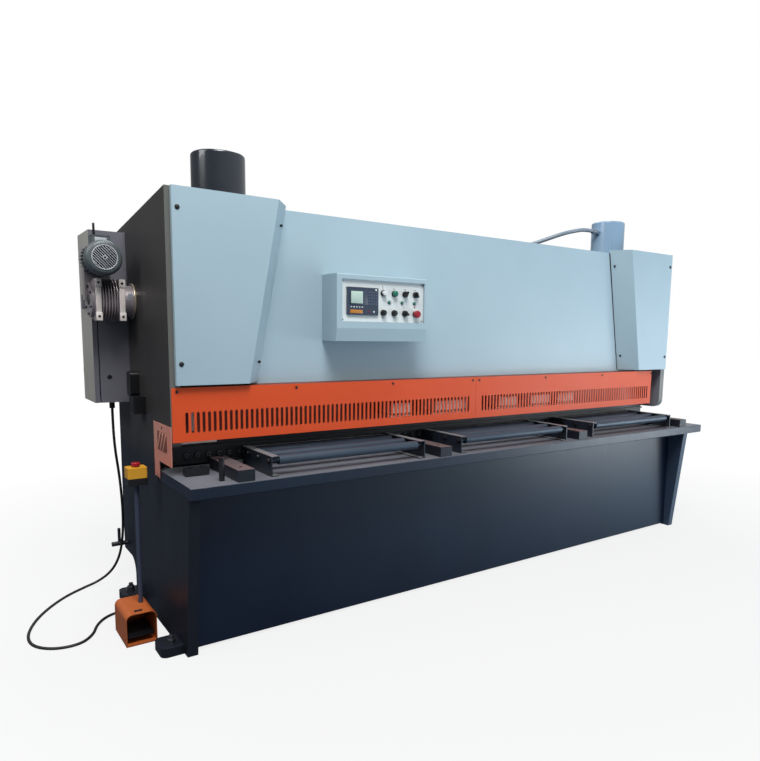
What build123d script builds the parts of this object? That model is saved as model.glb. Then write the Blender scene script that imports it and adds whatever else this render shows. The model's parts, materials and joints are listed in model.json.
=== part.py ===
from build123d import *
import os
from math import radians, tan

# Hydraulic guillotine shear, in millimetres.
# The origin is on the floor, at the centre of the four foundation bolts.
# +X is the operator's right, -Y faces the operator and +Z is up.

os.makedirs("parts", exist_ok=True)

# Side plates and the clear width between them
plate_thickness = 48.0
plate_gap = 3732.0
foot_front_y = -476.0
foot_rear_y = 437.0
knee_y = -555.0
limb_front_y = -325.0
limb_rear_y = 690.0
limb_front_top_z = 2094.0
limb_rear_top_z = 1990.0
notch_z = 190.0
notch_radius = 90.0
throat_height = 125.0
throat_root_y = -82.0
nose_radius = 60.0

# Foundation lugs outside the side plates
lug_reach = 101.0
lug_length = 140.0
lug_centre_y = 360.0
lug_thickness = 42.0
lug_corner_radius = 30.0
bolt_spacing_x = 3916.0
bolt_spacing_y = 754.0
bolt_hole_d = 25.0

# Table with its front apron and the beam under its rear edge
table_z = 800.0
table_thickness = 55.0
table_front_y = -573.0
table_back_y = -85.0
table_left_inset = 3.0
table_right_overhang = 151.0
table_edge_chamfer = 3.0
apron_front_y = -432.0
apron_thickness = 30.0
apron_bottom_z = 14.0
lower_beam_thickness = 65.0
lower_beam_bottom_z = 320.0
tie_beam_y = 600.0
tie_beam_z = 330.0
tie_beam_depth = 100.0
tie_beam_height = 180.0
tie_beam_wall = 10.0

# Blades and the ram that carries the upper one
blade_end_gap = 226.0
blade_thickness = 25.0
blade_height = 80.0
blade_gap = 1.0
blade_rake_drop = 86.0
upper_blade_low_z = 860.0
ram_end_gap = 86.0
ram_plate_thickness = 60.0
ram_lip_above_edge = 8.0
ram_top_z = 1400.0
ram_lug_width = 240.0
ram_lug_reach = 60.0
ram_lug_height = 90.0
ram_rib_height = 120.0
ram_rib_thickness = 40.0

# Back gauge carried behind the ram
gauge_arm_x = 1000.0
gauge_arm_width = 60.0
gauge_arm_height = 100.0
gauge_arm_low_z = 960.0
gauge_arm_reach = 540.0
gauge_beam_y = 440.0
gauge_beam_depth = 40.0
gauge_beam_low_z = 660.0

# Main cylinders in series: the left one is the larger
cylinder_x = 1550.0
left_cylinder_d = 265.0
right_cylinder_d = 245.0
cylinder_top_z = 2340.0
cylinder_bottom_z = 1570.0
cylinder_edge_radius = 12.0
cylinder_flange_margin = 35.0
cylinder_flange_thickness = 35.0
cylinder_bracket_z = 1900.0
cylinder_bracket_thickness = 60.0
cylinder_bracket_half_depth = 170.0
cylinder_bracket_margin = 60.0
cylinder_bracket_clearance = 0.5
rod_d = 110.0
rod_clearance = 0.1
rod_length = 600.0
port_d = 52.0
port_length = 34.0
left_port_drop = 240.0
right_port_drop = 75.0

# Hold-down beam: an upright plate with a ledge on top, and the feet in it
ledge_front_y = -245.0
ledge_thickness = 20.0
holddown_front_y = -167.0
holddown_back_y = -95.0
holddown_bottom_z = 829.0
holddown_top_z = 1210.0
rail_proud = 14.0
rail_height = 10.0
upper_rail_z = 905.0
holddown_count = 16
holddown_pitch = 220.0
foot_rod_d = 50.0
foot_bottom_z = 825.0
foot_rod_depth = 150.0
foot_spare_depth = 20.0
foot_clearance = 0.1

# Front panel, covers and guards of sheet steel
panel_front_y = -225.0
panel_thickness = 8.0
panel_top_z = 2074.0
cover_front_y = -350.0
cover_outer_x = 1890.0
cover_bottom_z = 1224.0
cover_fold_top_x = 1383.0
cover_fold_bottom_x = 1545.0
cover_return_run = 95.0
cover_wall = 4.0
guard_thickness = 3.0
guard_left_x = -1909.0
guard_split_x = -74.0
guard_right_x = 1742.0
guard_bottom_z = 962.0
guard_top_z = 1213.0
guard_split_gap = 2.0
guard_lip = 18.0
slot_count = 66
slot_pitch = 26.3
slot_width = 14.0
slot_bottom_z = 1003.0
slot_top_z = 1099.0
slot_first_x = 58.4
side_guard_thickness = 3.0
side_guard_front_y = -330.0
side_guard_rear_y = -45.0
side_guard_bottom_z = 849.0
side_guard_top_z = 1034.0
side_guard_leg_width = 80.0
side_guard_leg_z = 765.0
side_guard_slot_count = 5
side_guard_slot_pitch = 34.0
side_guard_slot_width = 16.0
side_guard_slot_height = 80.0
side_guard_slot_y = -185.0
side_guard_slot_z = 950.0

# Arms and roller frames on the table
arm_width = 80.0
arm_height = 55.0
arm_front_y = -565.0
arm_back_y = -190.0
arm_left_inset = 256.0
arm_right_inset = 240.0
arm_count = 4
arm_hole_d = 18.0
arm_hole_depth = 20.0
arm_hole_inset = 75.0
frame_arm_gap = 90.0
frame_height = 96.0
frame_flange = 38.0
frame_sheet = 5.0
frame_front_y = -536.0
frame_back_y = -186.0
frame_offset_x = 3.0
frame_count = 3
frame_bar_depth = 24.0
roller_d = 45.0
roller_count = 3
roller_pitch = 122.0
roller_end_gap = 6.0
first_roller_y = -512.0
roller_z = 873.0
axle_d = 16.0
axle_clearance = 0.1
gauge_post_x = -1743.0
gauge_post_y = -490.0
gauge_post_d = 25.0
gauge_post_height = 100.0
gauge_block_x = -1800.0
gauge_block_y = -310.0
gauge_block_length = 110.0
gauge_block_width = 50.0
gauge_block_height = 34.0

# Control box on the front panel
box_left_x = -1085.0
box_right_x = -508.0
box_bottom_z = 1428.0
box_top_z = 1770.0
box_fold_z = 1495.0
box_front_y = -381.0
box_bottom_front_y = -369.0
box_edge_radius = 5.0
window_left_x = -1053.0
window_right_x = -525.0
window_bottom_z = 1530.0
window_top_z = 1745.0
window_depth = 16.0
switch_plate_thickness = 3.0
controller_left_x = -1022.0
controller_right_x = -830.0
controller_bottom_z = 1563.0
controller_top_z = 1706.0
controller_height = 9.0
controller_corner = 5.0
screen_width = 92.0
screen_height = 44.0
screen_depth = 2.0
screen_x = -948.0
screen_z = 1668.0
switch_ring_d = 30.0
switch_ring_height = 5.0
switch_cap_d = 22.0
switch_cap_height = 8.0
lamp_d = 14.0
lamp_height = 6.0
knob_bar_width = 8.0
knob_bar_height = 9.0
upper_switch_z = 1681.0
lamp_row_z = 1635.0
lower_switch_z = 1577.0
switch_columns_x = (-794.0, -723.0, -652.0, -581.0)
lamp_columns_x = (-756.0, -668.0, -585.0)
stop_stem_d = 20.0
stop_head_d = 40.0
stop_head_height = 16.0
stop_gap = 6.0
stop_collar_height = 10.0
stop_stem_start = 6.0
stop_clearance = 0.1

# Electrical cabinet on the left side plate
cabinet_front_y = 397.0
cabinet_rear_y = 690.0
cabinet_bottom_z = 1087.0
cabinet_top_z = 1975.0
cabinet_depth = 149.0
cabinet_wall = 4.0
door_gap = 5.0
door_thickness = 24.0
door_wall = 3.0
handle_height = 75.0
handle_width = 16.0
handle_reach = 18.0
handle_y = 558.0
handle_z = 1616.0
hinge_pin_d = 12.0
hinge_knuckle_d = 20.0
hinge_knuckle_height = 36.0
hinge_strap_thickness = 6.0
hinge_strap_length = 26.0
hinge_inset_z = 140.0
hinge_clearance = 0.1

# Blade gap adjuster: motor over a worm gearbox
motor_x = -2074.0
motor_z = 1812.0
motor_d = 168.0
motor_body_d = 160.0
motor_front_y = 110.0
motor_length = 195.0
motor_cowl_length = 62.0
motor_cowl_radius = 22.0
motor_grille_d = 118.0
motor_grille_depth = 5.0
motor_grille_rim = 6.0
motor_hub_d = 30.0
motor_fin_count = 28
motor_fin_depth = 8.0
motor_fin_width = 4.0
terminal_width = 84.0
terminal_height = 34.0
terminal_length = 90.0
gearbox_axis_y = 296.0
gearbox_axis_z = 1617.0
gearbox_cap_d = 172.0
gearbox_cap_length = 14.0
gearbox_flange_depth = 180.0
gearbox_flange_height = 190.0
gearbox_flange_radius = 80.0
gearbox_flange_thickness = 30.0
gearbox_pad_front_y = 202.0
gearbox_pad_depth = 52.0
gearbox_pad_height = 40.0
gearbox_height = 204.0
gearbox_pad_hole_d = 12.0
gearbox_pad_hole_depth = 20.0
gearbox_drum_inset = 22.0
gearbox_drum_length = 80.0
gearbox_right_x = -1966.0
gearbox_fin_count = 6
gearbox_fin_width = 4.0
gearbox_fin_height = 210.0
gearbox_output_d = 158.0
gearbox_ring_d = 176.0
gearbox_ring_thickness = 8.0
gearbox_input_width = 120.0
gearbox_input_length = 60.0

# Small boxes and the drain cock on the left side plate
junction_x_depth = 60.0
junction_y = 137.0
junction_z = 1095.0
junction_width = 86.0
junction_height = 85.0
junction_edge_radius = 6.0
sensor_x_depth = 45.0
sensor_y = 246.0
sensor_z = 1195.0
sensor_width = 75.0
sensor_height = 125.0
sensor_corner_radius = 18.0
cock_y = 620.0
cock_z = 240.0
cock_reach = 85.0
cock_body_d = 26.0
cock_handle_height = 90.0
cock_handle_width = 16.0
cock_handle_thickness = 14.0
cock_handle_reach = 51.0

# Tank behind the front panel and its pressure pipe
tank_front_y = 300.0
tank_rear_y = 640.0
tank_height = 400.0
tank_below_port = 365.0
tank_cap_d = 90.0
tank_cap_height = 50.0
pipe_d = 28.0
pipe_nut_d = 46.0
pipe_nut_length = 40.0
pipe_start_x = 800.0
pipe_start_y = 380.0

# Foot switch with its pole and emergency stop
hood_left_x = -2120.0
hood_right_x = -1980.0
hood_front_y = -230.0
hood_rear_y = 0.0
hood_height = 155.0
hood_wall = 4.0
hood_radius = 30.0
base_thickness = 8.0
pedal_side_gap = 8.0
pedal_thickness = 10.0
pedal_front_gap = 12.0
pedal_pivot_y = -45.0
pedal_pivot_z = 42.0
pedal_pin_d = 10.0
pedal_pin_clearance = 0.1
pole_x = -2020.0
pole_y = -100.0
pole_d = 22.0
pole_top_z = 742.0
stop_box_width = 88.0
stop_box_depth = 78.0
stop_base_height = 34.0
stop_cover_height = 50.0
stop_box_corner = 8.0
stop_bore_depth = 20.0
stop_stem_depth = 8.0

# Foot switch cable, from the cabinet's gland to the pedal's gland
cable_d = 14.0
gland_d = 28.0
gland_length = 36.0
cable_exit_x = -2000.0
cable_exit_y = 454.0
cable_bend_share = 0.45
inlet_x = -2000.0
inlet_z = 24.0

# Places that follow from the sizes above
plate_in = plate_gap / 2
plate_out = plate_in + plate_thickness
table_under_z = table_z - table_thickness
throat_mid_z = table_z + throat_height / 2
throat_top_z = table_z + throat_height
shear_plane_y = table_back_y + blade_thickness
ram_face_y = shear_plane_y + blade_gap
holddown_y = (holddown_front_y + holddown_back_y) / 2
guard_face_y = limb_front_y - guard_thickness
blade_length = plate_gap - 2 * blade_end_gap
ram_width = plate_gap - 2 * ram_end_gap
rake_slope = blade_rake_drop / blade_length
left_port_z = cylinder_top_z - left_port_drop
right_port_z = cylinder_top_z - right_port_drop
tank_top_z = right_port_z - tank_below_port
tank_bottom_z = tank_top_z - tank_height
table_left_x = -plate_out + table_left_inset
table_right_x = plate_out + table_right_overhang
first_arm_x = table_left_x + arm_left_inset
arm_pitch = (table_right_x - arm_right_inset - first_arm_x) / (arm_count - 1)
first_frame_x = first_arm_x + arm_pitch / 2 + frame_offset_x
frame_length = arm_pitch - arm_width - 2 * frame_arm_gap
cabinet_left_x = -plate_out - cabinet_depth


def box_between(low, high):
    """Add a block between two corners to the builder in use."""
    size = [high[i] - low[i] for i in range(3)]
    centre = tuple((high[i] + low[i]) / 2 for i in range(3))
    with Locations(centre):
        Box(*size)


def nearest_vertex(builder, x, y):
    """Return the vertex of a sketch that lies nearest to a point."""
    return builder.vertices().sort_by_distance((x, y, 0))[0]


def write(piece, name):
    """Name a finished piece and write it as its own file."""
    piece.label = name
    export_step(piece, f"parts/{name}.step")


# Side plates with throat, rear notch and foundation lugs
def side_plate(side):
    """Return a side plate: side is -1 on the left and 1 on the right."""
    outline = [
        (foot_front_y, 0),
        (knee_y, table_under_z),
        (table_back_y, table_under_z),
        (table_back_y, table_z),
        (throat_root_y, table_z),
        (throat_root_y, throat_top_z),
        (limb_front_y, throat_top_z),
        (limb_front_y, limb_front_top_z),
        (limb_rear_y, limb_rear_top_z),
        (limb_rear_y, notch_z),
        (foot_rear_y, notch_z),
        (foot_rear_y, 0),
    ]
    with BuildPart() as plate:
        with BuildSketch(Plane.YZ.offset(side * plate_in)) as profile:
            Polygon(*outline)
            with Locations((throat_root_y, throat_mid_z)):
                Circle(throat_height / 2, mode=Mode.SUBTRACT)
            fillet(nearest_vertex(profile, limb_front_y, throat_top_z), nose_radius)
            fillet(nearest_vertex(profile, foot_rear_y, notch_z), notch_radius)
        extrude(amount=side * plate_thickness)
        with BuildSketch(Plane.XY) as lugs:
            with Locations(*[(side * (plate_out + lug_reach / 2), end * lug_centre_y) for end in (-1, 1)]):
                Rectangle(lug_reach, lug_length)
            outer_corners = lugs.vertices().filter_by(lambda v: abs(v.X) > plate_out + lug_reach / 2)
            fillet(outer_corners, lug_corner_radius)
            with Locations(*[(side * bolt_spacing_x / 2, end * bolt_spacing_y / 2) for end in (-1, 1)]):
                Circle(bolt_hole_d / 2, mode=Mode.SUBTRACT)
        extrude(amount=lug_thickness)
    return plate.part


write(side_plate(-1), "left_side_plate")
write(side_plate(1), "right_side_plate")

# Table over the lower limbs of the side plates
with BuildPart() as table_plate:
    box_between(
        (table_left_x, table_front_y, table_under_z),
        (table_right_x, table_back_y, table_z),
    )
    chamfer(table_plate.edges().filter_by(Axis.X).group_by(Axis.Y)[0], table_edge_chamfer)
write(table_plate.part, "table_plate")

with BuildPart() as front_apron:
    box_between(
        (-plate_in, apron_front_y, apron_bottom_z),
        (plate_in, apron_front_y + apron_thickness, table_under_z),
    )
write(front_apron.part, "front_apron")

with BuildPart() as lower_beam:
    box_between(
        (-plate_in, table_back_y - lower_beam_thickness, lower_beam_bottom_z),
        (plate_in, table_back_y, table_under_z),
    )
write(lower_beam.part, "lower_beam")

with BuildPart() as lower_blade:
    box_between(
        (-blade_length / 2, table_back_y, table_z - blade_height),
        (blade_length / 2, shear_plane_y, table_z),
    )
write(lower_blade.part, "lower_blade")

with BuildPart() as rear_tie_beam:
    with BuildSketch(Plane.YZ.offset(-plate_in)):
        with Locations((tie_beam_y, tie_beam_z)):
            Rectangle(tie_beam_depth, tie_beam_height)
            Rectangle(
                tie_beam_depth - 2 * tie_beam_wall, tie_beam_height - 2 * tie_beam_wall, mode=Mode.SUBTRACT
            )
    extrude(amount=plate_gap)
write(rear_tie_beam.part, "rear_tie_beam")


# Ram and upper blade, raked so that the left end cuts first
def raked_z(x, above):
    """Return the height above the upper blade's cutting edge at a place along it."""
    return upper_blade_low_z + above + (x + blade_length / 2) * rake_slope


with BuildPart() as upper_blade:
    with BuildSketch(Plane.XZ.offset(-ram_face_y)):
        Polygon(
            (-blade_length / 2, raked_z(-blade_length / 2, 0)),
            (blade_length / 2, raked_z(blade_length / 2, 0)),
            (blade_length / 2, raked_z(blade_length / 2, blade_height)),
            (-blade_length / 2, raked_z(-blade_length / 2, blade_height)),
        )
    extrude(amount=-blade_thickness)
write(upper_blade.part, "upper_blade")

ram_half = ram_width / 2
ram_back_y = ram_face_y + blade_thickness + ram_plate_thickness
with BuildPart() as ram_beam:
    with BuildSketch(Plane.XZ.offset(-ram_face_y)):
        Polygon(
            (-ram_half, raked_z(-ram_half, blade_height)),
            (ram_half, raked_z(ram_half, blade_height)),
            (ram_half, ram_top_z),
            (-ram_half, ram_top_z),
        )
    extrude(amount=-blade_thickness)
    with BuildSketch(Plane.XZ.offset(-ram_face_y - blade_thickness)):
        Polygon(
            (-ram_half, raked_z(-ram_half, ram_lip_above_edge)),
            (ram_half, raked_z(ram_half, ram_lip_above_edge)),
            (ram_half, ram_top_z),
            (-ram_half, ram_top_z),
        )
    extrude(amount=-ram_plate_thickness)
    for side in (-1, 1):
        box_between(
            (side * cylinder_x - ram_lug_width / 2, ram_back_y, ram_top_z - ram_lug_height),
            (side * cylinder_x + ram_lug_width / 2, ram_back_y + ram_lug_reach, ram_top_z),
        )
        with BuildSketch(Plane.YZ.offset(side * cylinder_x - ram_rib_thickness / 2)):
            Polygon(
                (ram_back_y, ram_top_z - ram_lug_height),
                (ram_back_y, ram_top_z - ram_lug_height - ram_rib_height),
                (ram_back_y + ram_lug_reach, ram_top_z - ram_lug_height),
            )
        extrude(amount=ram_rib_thickness)
write(ram_beam.part, "ram_beam")

with BuildPart() as back_gauge:
    for side in (-1, 1):
        box_between(
            (side * gauge_arm_x - gauge_arm_width / 2, ram_back_y, gauge_arm_low_z),
            (
                side * gauge_arm_x + gauge_arm_width / 2,
                ram_back_y + gauge_arm_reach,
                gauge_arm_low_z + gauge_arm_height,
            ),
        )
    box_between(
        (-ram_half, gauge_beam_y, gauge_beam_low_z),
        (ram_half, gauge_beam_y + gauge_beam_depth, gauge_arm_low_z),
    )
write(back_gauge.part, "back_gauge")

with BuildPart() as piston_rods:
    for side in (-1, 1):
        with BuildSketch(Plane.XY.offset(ram_top_z)):
            with Locations((side * cylinder_x, 0)):
                Circle(rod_d / 2)
        extrude(amount=rod_length)
write(piston_rods.part, "piston_rods")


# Main cylinders, standing through brackets on the side plates
def main_cylinder(side, diameter, port_z):
    """Return a cylinder with its mounting flange, rod bore and side port."""
    port_start = diameter / 2 - port_length / 2
    with BuildPart() as cylinder:
        with BuildSketch(Plane.XY.offset(cylinder_bottom_z)):
            with Locations((side * cylinder_x, 0)):
                Circle(diameter / 2)
        extrude(amount=cylinder_top_z - cylinder_bottom_z)
        fillet(cylinder.edges().group_by(Axis.Z)[-1], cylinder_edge_radius)
        with BuildSketch(Plane.XY.offset(cylinder_bracket_z + cylinder_bracket_thickness)):
            with Locations((side * cylinder_x, 0)):
                Circle(diameter / 2 + cylinder_flange_margin)
        extrude(amount=cylinder_flange_thickness)
        with BuildSketch(Plane.XY.offset(cylinder_bottom_z)):
            with Locations((side * cylinder_x, 0)):
                Circle(rod_d / 2 + rod_clearance)
        extrude(amount=ram_top_z + rod_length + port_length - cylinder_bottom_z, mode=Mode.SUBTRACT)
        with BuildSketch(Plane.YZ.offset(side * cylinder_x - side * port_start)):
            with Locations((0, port_z)):
                Circle(port_d / 2)
        extrude(amount=-side * port_length)
    return cylinder.part


write(main_cylinder(-1, left_cylinder_d, left_port_z), "left_cylinder")
write(main_cylinder(1, right_cylinder_d, right_port_z), "right_cylinder")

with BuildPart() as cylinder_brackets:
    for side, diameter in ((-1, left_cylinder_d), (1, right_cylinder_d)):
        inner_x = cylinder_x - diameter / 2 - cylinder_bracket_margin
        with BuildSketch(Plane.XY.offset(cylinder_bracket_z)):
            with Locations((side * (plate_in + inner_x) / 2, 0)):
                Rectangle(plate_in - inner_x, 2 * cylinder_bracket_half_depth)
            with Locations((side * cylinder_x, 0)):
                Circle(diameter / 2 + cylinder_bracket_clearance, mode=Mode.SUBTRACT)
        extrude(amount=cylinder_bracket_thickness)
write(cylinder_brackets.part, "cylinder_brackets")

# Oil tank between the side plates
with BuildPart() as oil_tank:
    box_between((-plate_in, tank_front_y, tank_bottom_z), (plate_in, tank_rear_y, tank_top_z))
    with BuildSketch(Plane.XY.offset(tank_top_z)):
        with Locations((0, (tank_front_y + tank_rear_y) / 2)):
            Circle(tank_cap_d / 2)
    extrude(amount=tank_cap_height)
write(oil_tank.part, "oil_tank")

# Pressure pipe from the tank over to the right cylinder
pipe_end_x = cylinder_x - right_cylinder_d / 2 - port_length / 2 - pipe_nut_length
pipe_points = [
    (pipe_start_x, pipe_start_y, tank_top_z + pipe_nut_length),
    (pipe_start_x, pipe_start_y, right_port_z - 165),
    (pipe_start_x + 80, 150, right_port_z - 125),
    (pipe_start_x + 280, 20, right_port_z - 40),
    (pipe_end_x - 120, 0, right_port_z - 2),
    (pipe_end_x, 0, right_port_z),
]
pipe_radii = [70, 220, 300, 400]
with BuildPart() as hydraulic_pipe:
    with BuildLine() as pipe_line:
        FilletPolyline(*pipe_points, radius=pipe_radii)
    with BuildSketch(Plane(origin=pipe_points[0], z_dir=(0, 0, 1))):
        Circle(pipe_d / 2)
    sweep(path=pipe_line.line)
    with BuildSketch(Plane.XY.offset(tank_top_z)):
        with Locations((pipe_start_x, pipe_start_y)):
            Circle(pipe_nut_d / 2)
    extrude(amount=pipe_nut_length)
    with BuildSketch(Plane.YZ.offset(pipe_points[-1][0])):
        with Locations((0, right_port_z)):
            Circle(pipe_nut_d / 2)
    extrude(amount=pipe_nut_length)
write(hydraulic_pipe.part, "hydraulic_pipe")

# Hold-down beam with its ledge, two rails and a bore for each foot
with BuildPart() as hold_down_beam:
    box_between(
        (-plate_in, holddown_front_y, holddown_bottom_z), (plate_in, holddown_back_y, holddown_top_z)
    )
    box_between(
        (-plate_in, ledge_front_y, holddown_top_z - ledge_thickness),
        (plate_in, holddown_front_y, holddown_top_z),
    )
    for rail_z in (holddown_bottom_z, upper_rail_z):
        box_between(
            (-plate_in, holddown_front_y - rail_proud, rail_z),
            (plate_in, holddown_front_y, rail_z + rail_height),
        )
    with BuildSketch(Plane.XY.offset(holddown_bottom_z)):
        with Locations((0, holddown_y)):
            with GridLocations(holddown_pitch, 0, holddown_count, 1):
                Circle(foot_rod_d / 2 + foot_clearance)
    extrude(amount=foot_rod_depth + foot_spare_depth, mode=Mode.SUBTRACT)
write(hold_down_beam.part, "hold_down_beam")

with BuildPart() as hold_down_feet:
    with BuildSketch(Plane.XY.offset(foot_bottom_z)):
        with Locations((0, holddown_y)):
            with GridLocations(holddown_pitch, 0, holddown_count, 1):
                Circle(foot_rod_d / 2)
    extrude(amount=holddown_bottom_z + foot_rod_depth - foot_bottom_z)
write(hold_down_feet.part, "hold_down_feet")

# Main front panel on the hold-down beam
with BuildPart() as main_front_panel:
    box_between(
        (-plate_in, panel_front_y, holddown_top_z), (plate_in, panel_front_y + panel_thickness, panel_top_z)
    )
write(main_front_panel.part, "main_front_panel")


# Front covers: folded sheet with a slanted inner return
def cover_section(side, y, outer_x, run, inset):
    """Return the cover's outline at a depth, moved in by the return's run and an inset."""
    fold_slope = (cover_fold_bottom_x - cover_fold_top_x) / (limb_front_top_z - cover_bottom_z)
    low_z = cover_bottom_z + inset
    high_z = limb_front_top_z - inset
    low_x = cover_fold_bottom_x - run + inset - inset * fold_slope
    high_x = cover_fold_top_x - run + inset + inset * fold_slope
    with BuildSketch(Plane.XZ.offset(-y)) as outline:
        Polygon(
            (side * outer_x, low_z),
            (side * low_x, low_z),
            (side * high_x, high_z),
            (side * outer_x, high_z),
        )
    return outline.sketch


def front_cover(side):
    """Return the folded cover in front of one side plate's upper limb."""
    inner_y = cover_front_y + cover_wall
    inner_x = plate_in - cover_wall
    inner_run = cover_return_run * cover_wall / (panel_front_y - cover_front_y)
    step_width = cover_outer_x - plate_in + cover_wall
    cover_mid_z = (cover_bottom_z + limb_front_top_z) / 2
    with BuildPart() as shell:
        loft([
            cover_section(side, cover_front_y, cover_outer_x, 0, 0),
            cover_section(side, panel_front_y, cover_outer_x, cover_return_run, 0),
        ])
        loft([
            cover_section(side, inner_y, inner_x, inner_run, cover_wall),
            cover_section(side, panel_front_y, inner_x, cover_return_run, cover_wall),
        ], mode=Mode.SUBTRACT)
        with Locations((side * (plate_in + step_width / 2), (limb_front_y + panel_front_y) / 2, cover_mid_z)):
            Box(step_width, panel_front_y - limb_front_y, limb_front_top_z - cover_bottom_z, mode=Mode.SUBTRACT)
    return shell.part


write(front_cover(-1), "left_front_cover")
write(front_cover(1), "right_front_cover")


# Finger guards: slotted sheet with a lip below and a flange that rests on the ledge
def finger_guard(side, outer_x, flange_x):
    """Return one half of the finger guard with its row of slots."""
    inner_x = guard_split_x + side * guard_split_gap / 2
    row_centre = guard_split_x + side * (slot_first_x + slot_pitch * (slot_count - 1) / 2)
    low_x = min(inner_x, flange_x)
    high_x = max(inner_x, flange_x)
    with BuildPart() as guard:
        with BuildSketch(Plane.XZ.offset(-guard_face_y)):
            with Locations(((inner_x + outer_x) / 2, (guard_bottom_z + guard_top_z) / 2)):
                Rectangle(abs(outer_x - inner_x), guard_top_z - guard_bottom_z)
            with Locations((row_centre, (slot_bottom_z + slot_top_z) / 2)):
                with GridLocations(slot_pitch, 0, slot_count, 1):
                    SlotOverall(slot_top_z - slot_bottom_z, slot_width, rotation=90, mode=Mode.SUBTRACT)
        extrude(amount=-guard_thickness)
        box_between(
            (low_x, guard_face_y, guard_bottom_z),
            (high_x, guard_face_y + guard_lip, guard_bottom_z + guard_thickness),
        )
        box_between((low_x, guard_face_y, guard_top_z - guard_thickness), (high_x, panel_front_y, guard_top_z))
    return guard.part


write(finger_guard(-1, guard_left_x, -plate_in), "left_finger_guard")
write(finger_guard(1, guard_right_x, guard_right_x), "right_finger_guard")

# Side guard over the left throat
with BuildPart() as side_guard:
    with BuildSketch(Plane.YZ.offset(-plate_out)):
        Polygon(
            (side_guard_front_y, side_guard_bottom_z),
            (side_guard_rear_y - side_guard_leg_width, side_guard_bottom_z),
            (side_guard_rear_y - side_guard_leg_width, side_guard_leg_z),
            (side_guard_rear_y, side_guard_leg_z),
            (side_guard_rear_y, side_guard_top_z),
            (side_guard_front_y, side_guard_top_z),
        )
        with Locations((side_guard_slot_y, side_guard_slot_z)):
            with GridLocations(side_guard_slot_pitch, 0, side_guard_slot_count, 1):
                SlotOverall(side_guard_slot_height, side_guard_slot_width, rotation=90, mode=Mode.SUBTRACT)
    extrude(amount=-side_guard_thickness)
write(side_guard.part, "side_guard")

# Arms bolted across the table
arm_xs = [first_arm_x + number * arm_pitch for number in range(arm_count)]
with BuildPart() as table_arms:
    for arm_x in arm_xs:
        box_between(
            (arm_x - arm_width / 2, arm_front_y, table_z),
            (arm_x + arm_width / 2, arm_back_y, table_z + arm_height),
        )
    for hole_y in (arm_front_y + arm_hole_inset, arm_back_y - arm_hole_inset):
        with Locations(*[(arm_x, hole_y, table_z + arm_height) for arm_x in arm_xs]):
            Hole(arm_hole_d / 2, arm_hole_depth)
write(table_arms.part, "table_arms")


# Roller frames: two channels joined by a bar at the back
def channel_outline(web_x, inward):
    """Draw a channel's section, open towards the frame's middle."""
    flange_x = web_x + inward * frame_flange
    sheet_x = web_x + inward * frame_sheet
    Polygon(
        (web_x, table_z),
        (flange_x, table_z),
        (flange_x, table_z + frame_sheet),
        (sheet_x, table_z + frame_sheet),
        (sheet_x, table_z + frame_height - frame_sheet),
        (flange_x, table_z + frame_height - frame_sheet),
        (flange_x, table_z + frame_height),
        (web_x, table_z + frame_height),
    )


for number in range(frame_count):
    frame_x = first_frame_x + number * arm_pitch
    roller_ys = [first_roller_y + row * roller_pitch for row in range(roller_count)]
    with BuildPart() as support_frame:
        with BuildSketch(Plane.XZ.offset(-frame_front_y)):
            channel_outline(frame_x - frame_length / 2, 1)
            channel_outline(frame_x + frame_length / 2, -1)
        extrude(amount=-(frame_back_y - frame_front_y))
        box_between(
            (frame_x - frame_length / 2 + frame_sheet, frame_back_y - frame_bar_depth, table_z + frame_sheet),
            (
                frame_x + frame_length / 2 - frame_sheet,
                frame_back_y,
                table_z + frame_height - frame_sheet,
            ),
        )
        with BuildSketch(Plane.YZ.offset(frame_x - frame_length / 2)):
            with Locations(*[(y, roller_z) for y in roller_ys]):
                Circle(axle_d / 2 + axle_clearance)
        extrude(amount=frame_length, mode=Mode.SUBTRACT)
    write(support_frame.part, f"support_frame_{number + 1}")

    for row, roller_y in enumerate(roller_ys):
        roller_half = frame_length / 2 - frame_flange - roller_end_gap
        with BuildPart() as roller:
            with BuildSketch(Plane.YZ.offset(frame_x - roller_half)):
                with Locations((roller_y, roller_z)):
                    Circle(roller_d / 2)
            extrude(amount=2 * roller_half)
            with BuildSketch(Plane.YZ.offset(frame_x - frame_length / 2)):
                with Locations((roller_y, roller_z)):
                    Circle(axle_d / 2)
            extrude(amount=frame_length)
        write(roller.part, f"roller_{number + 1}_{row + 1}")

# Side gauge: an upright pin and a stop block near the left arm
gauge_half_length = gauge_block_length / 2
gauge_half_width = gauge_block_width / 2
with BuildPart() as side_gauge:
    with BuildSketch(Plane.XY.offset(table_z)):
        with Locations((gauge_post_x, gauge_post_y)):
            Circle(gauge_post_d / 2)
    extrude(amount=gauge_post_height)
    box_between(
        (gauge_block_x - gauge_half_length, gauge_block_y - gauge_half_width, table_z),
        (gauge_block_x + gauge_half_length, gauge_block_y + gauge_half_width, table_z + gauge_block_height),
    )
write(side_gauge.part, "side_gauge")

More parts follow.
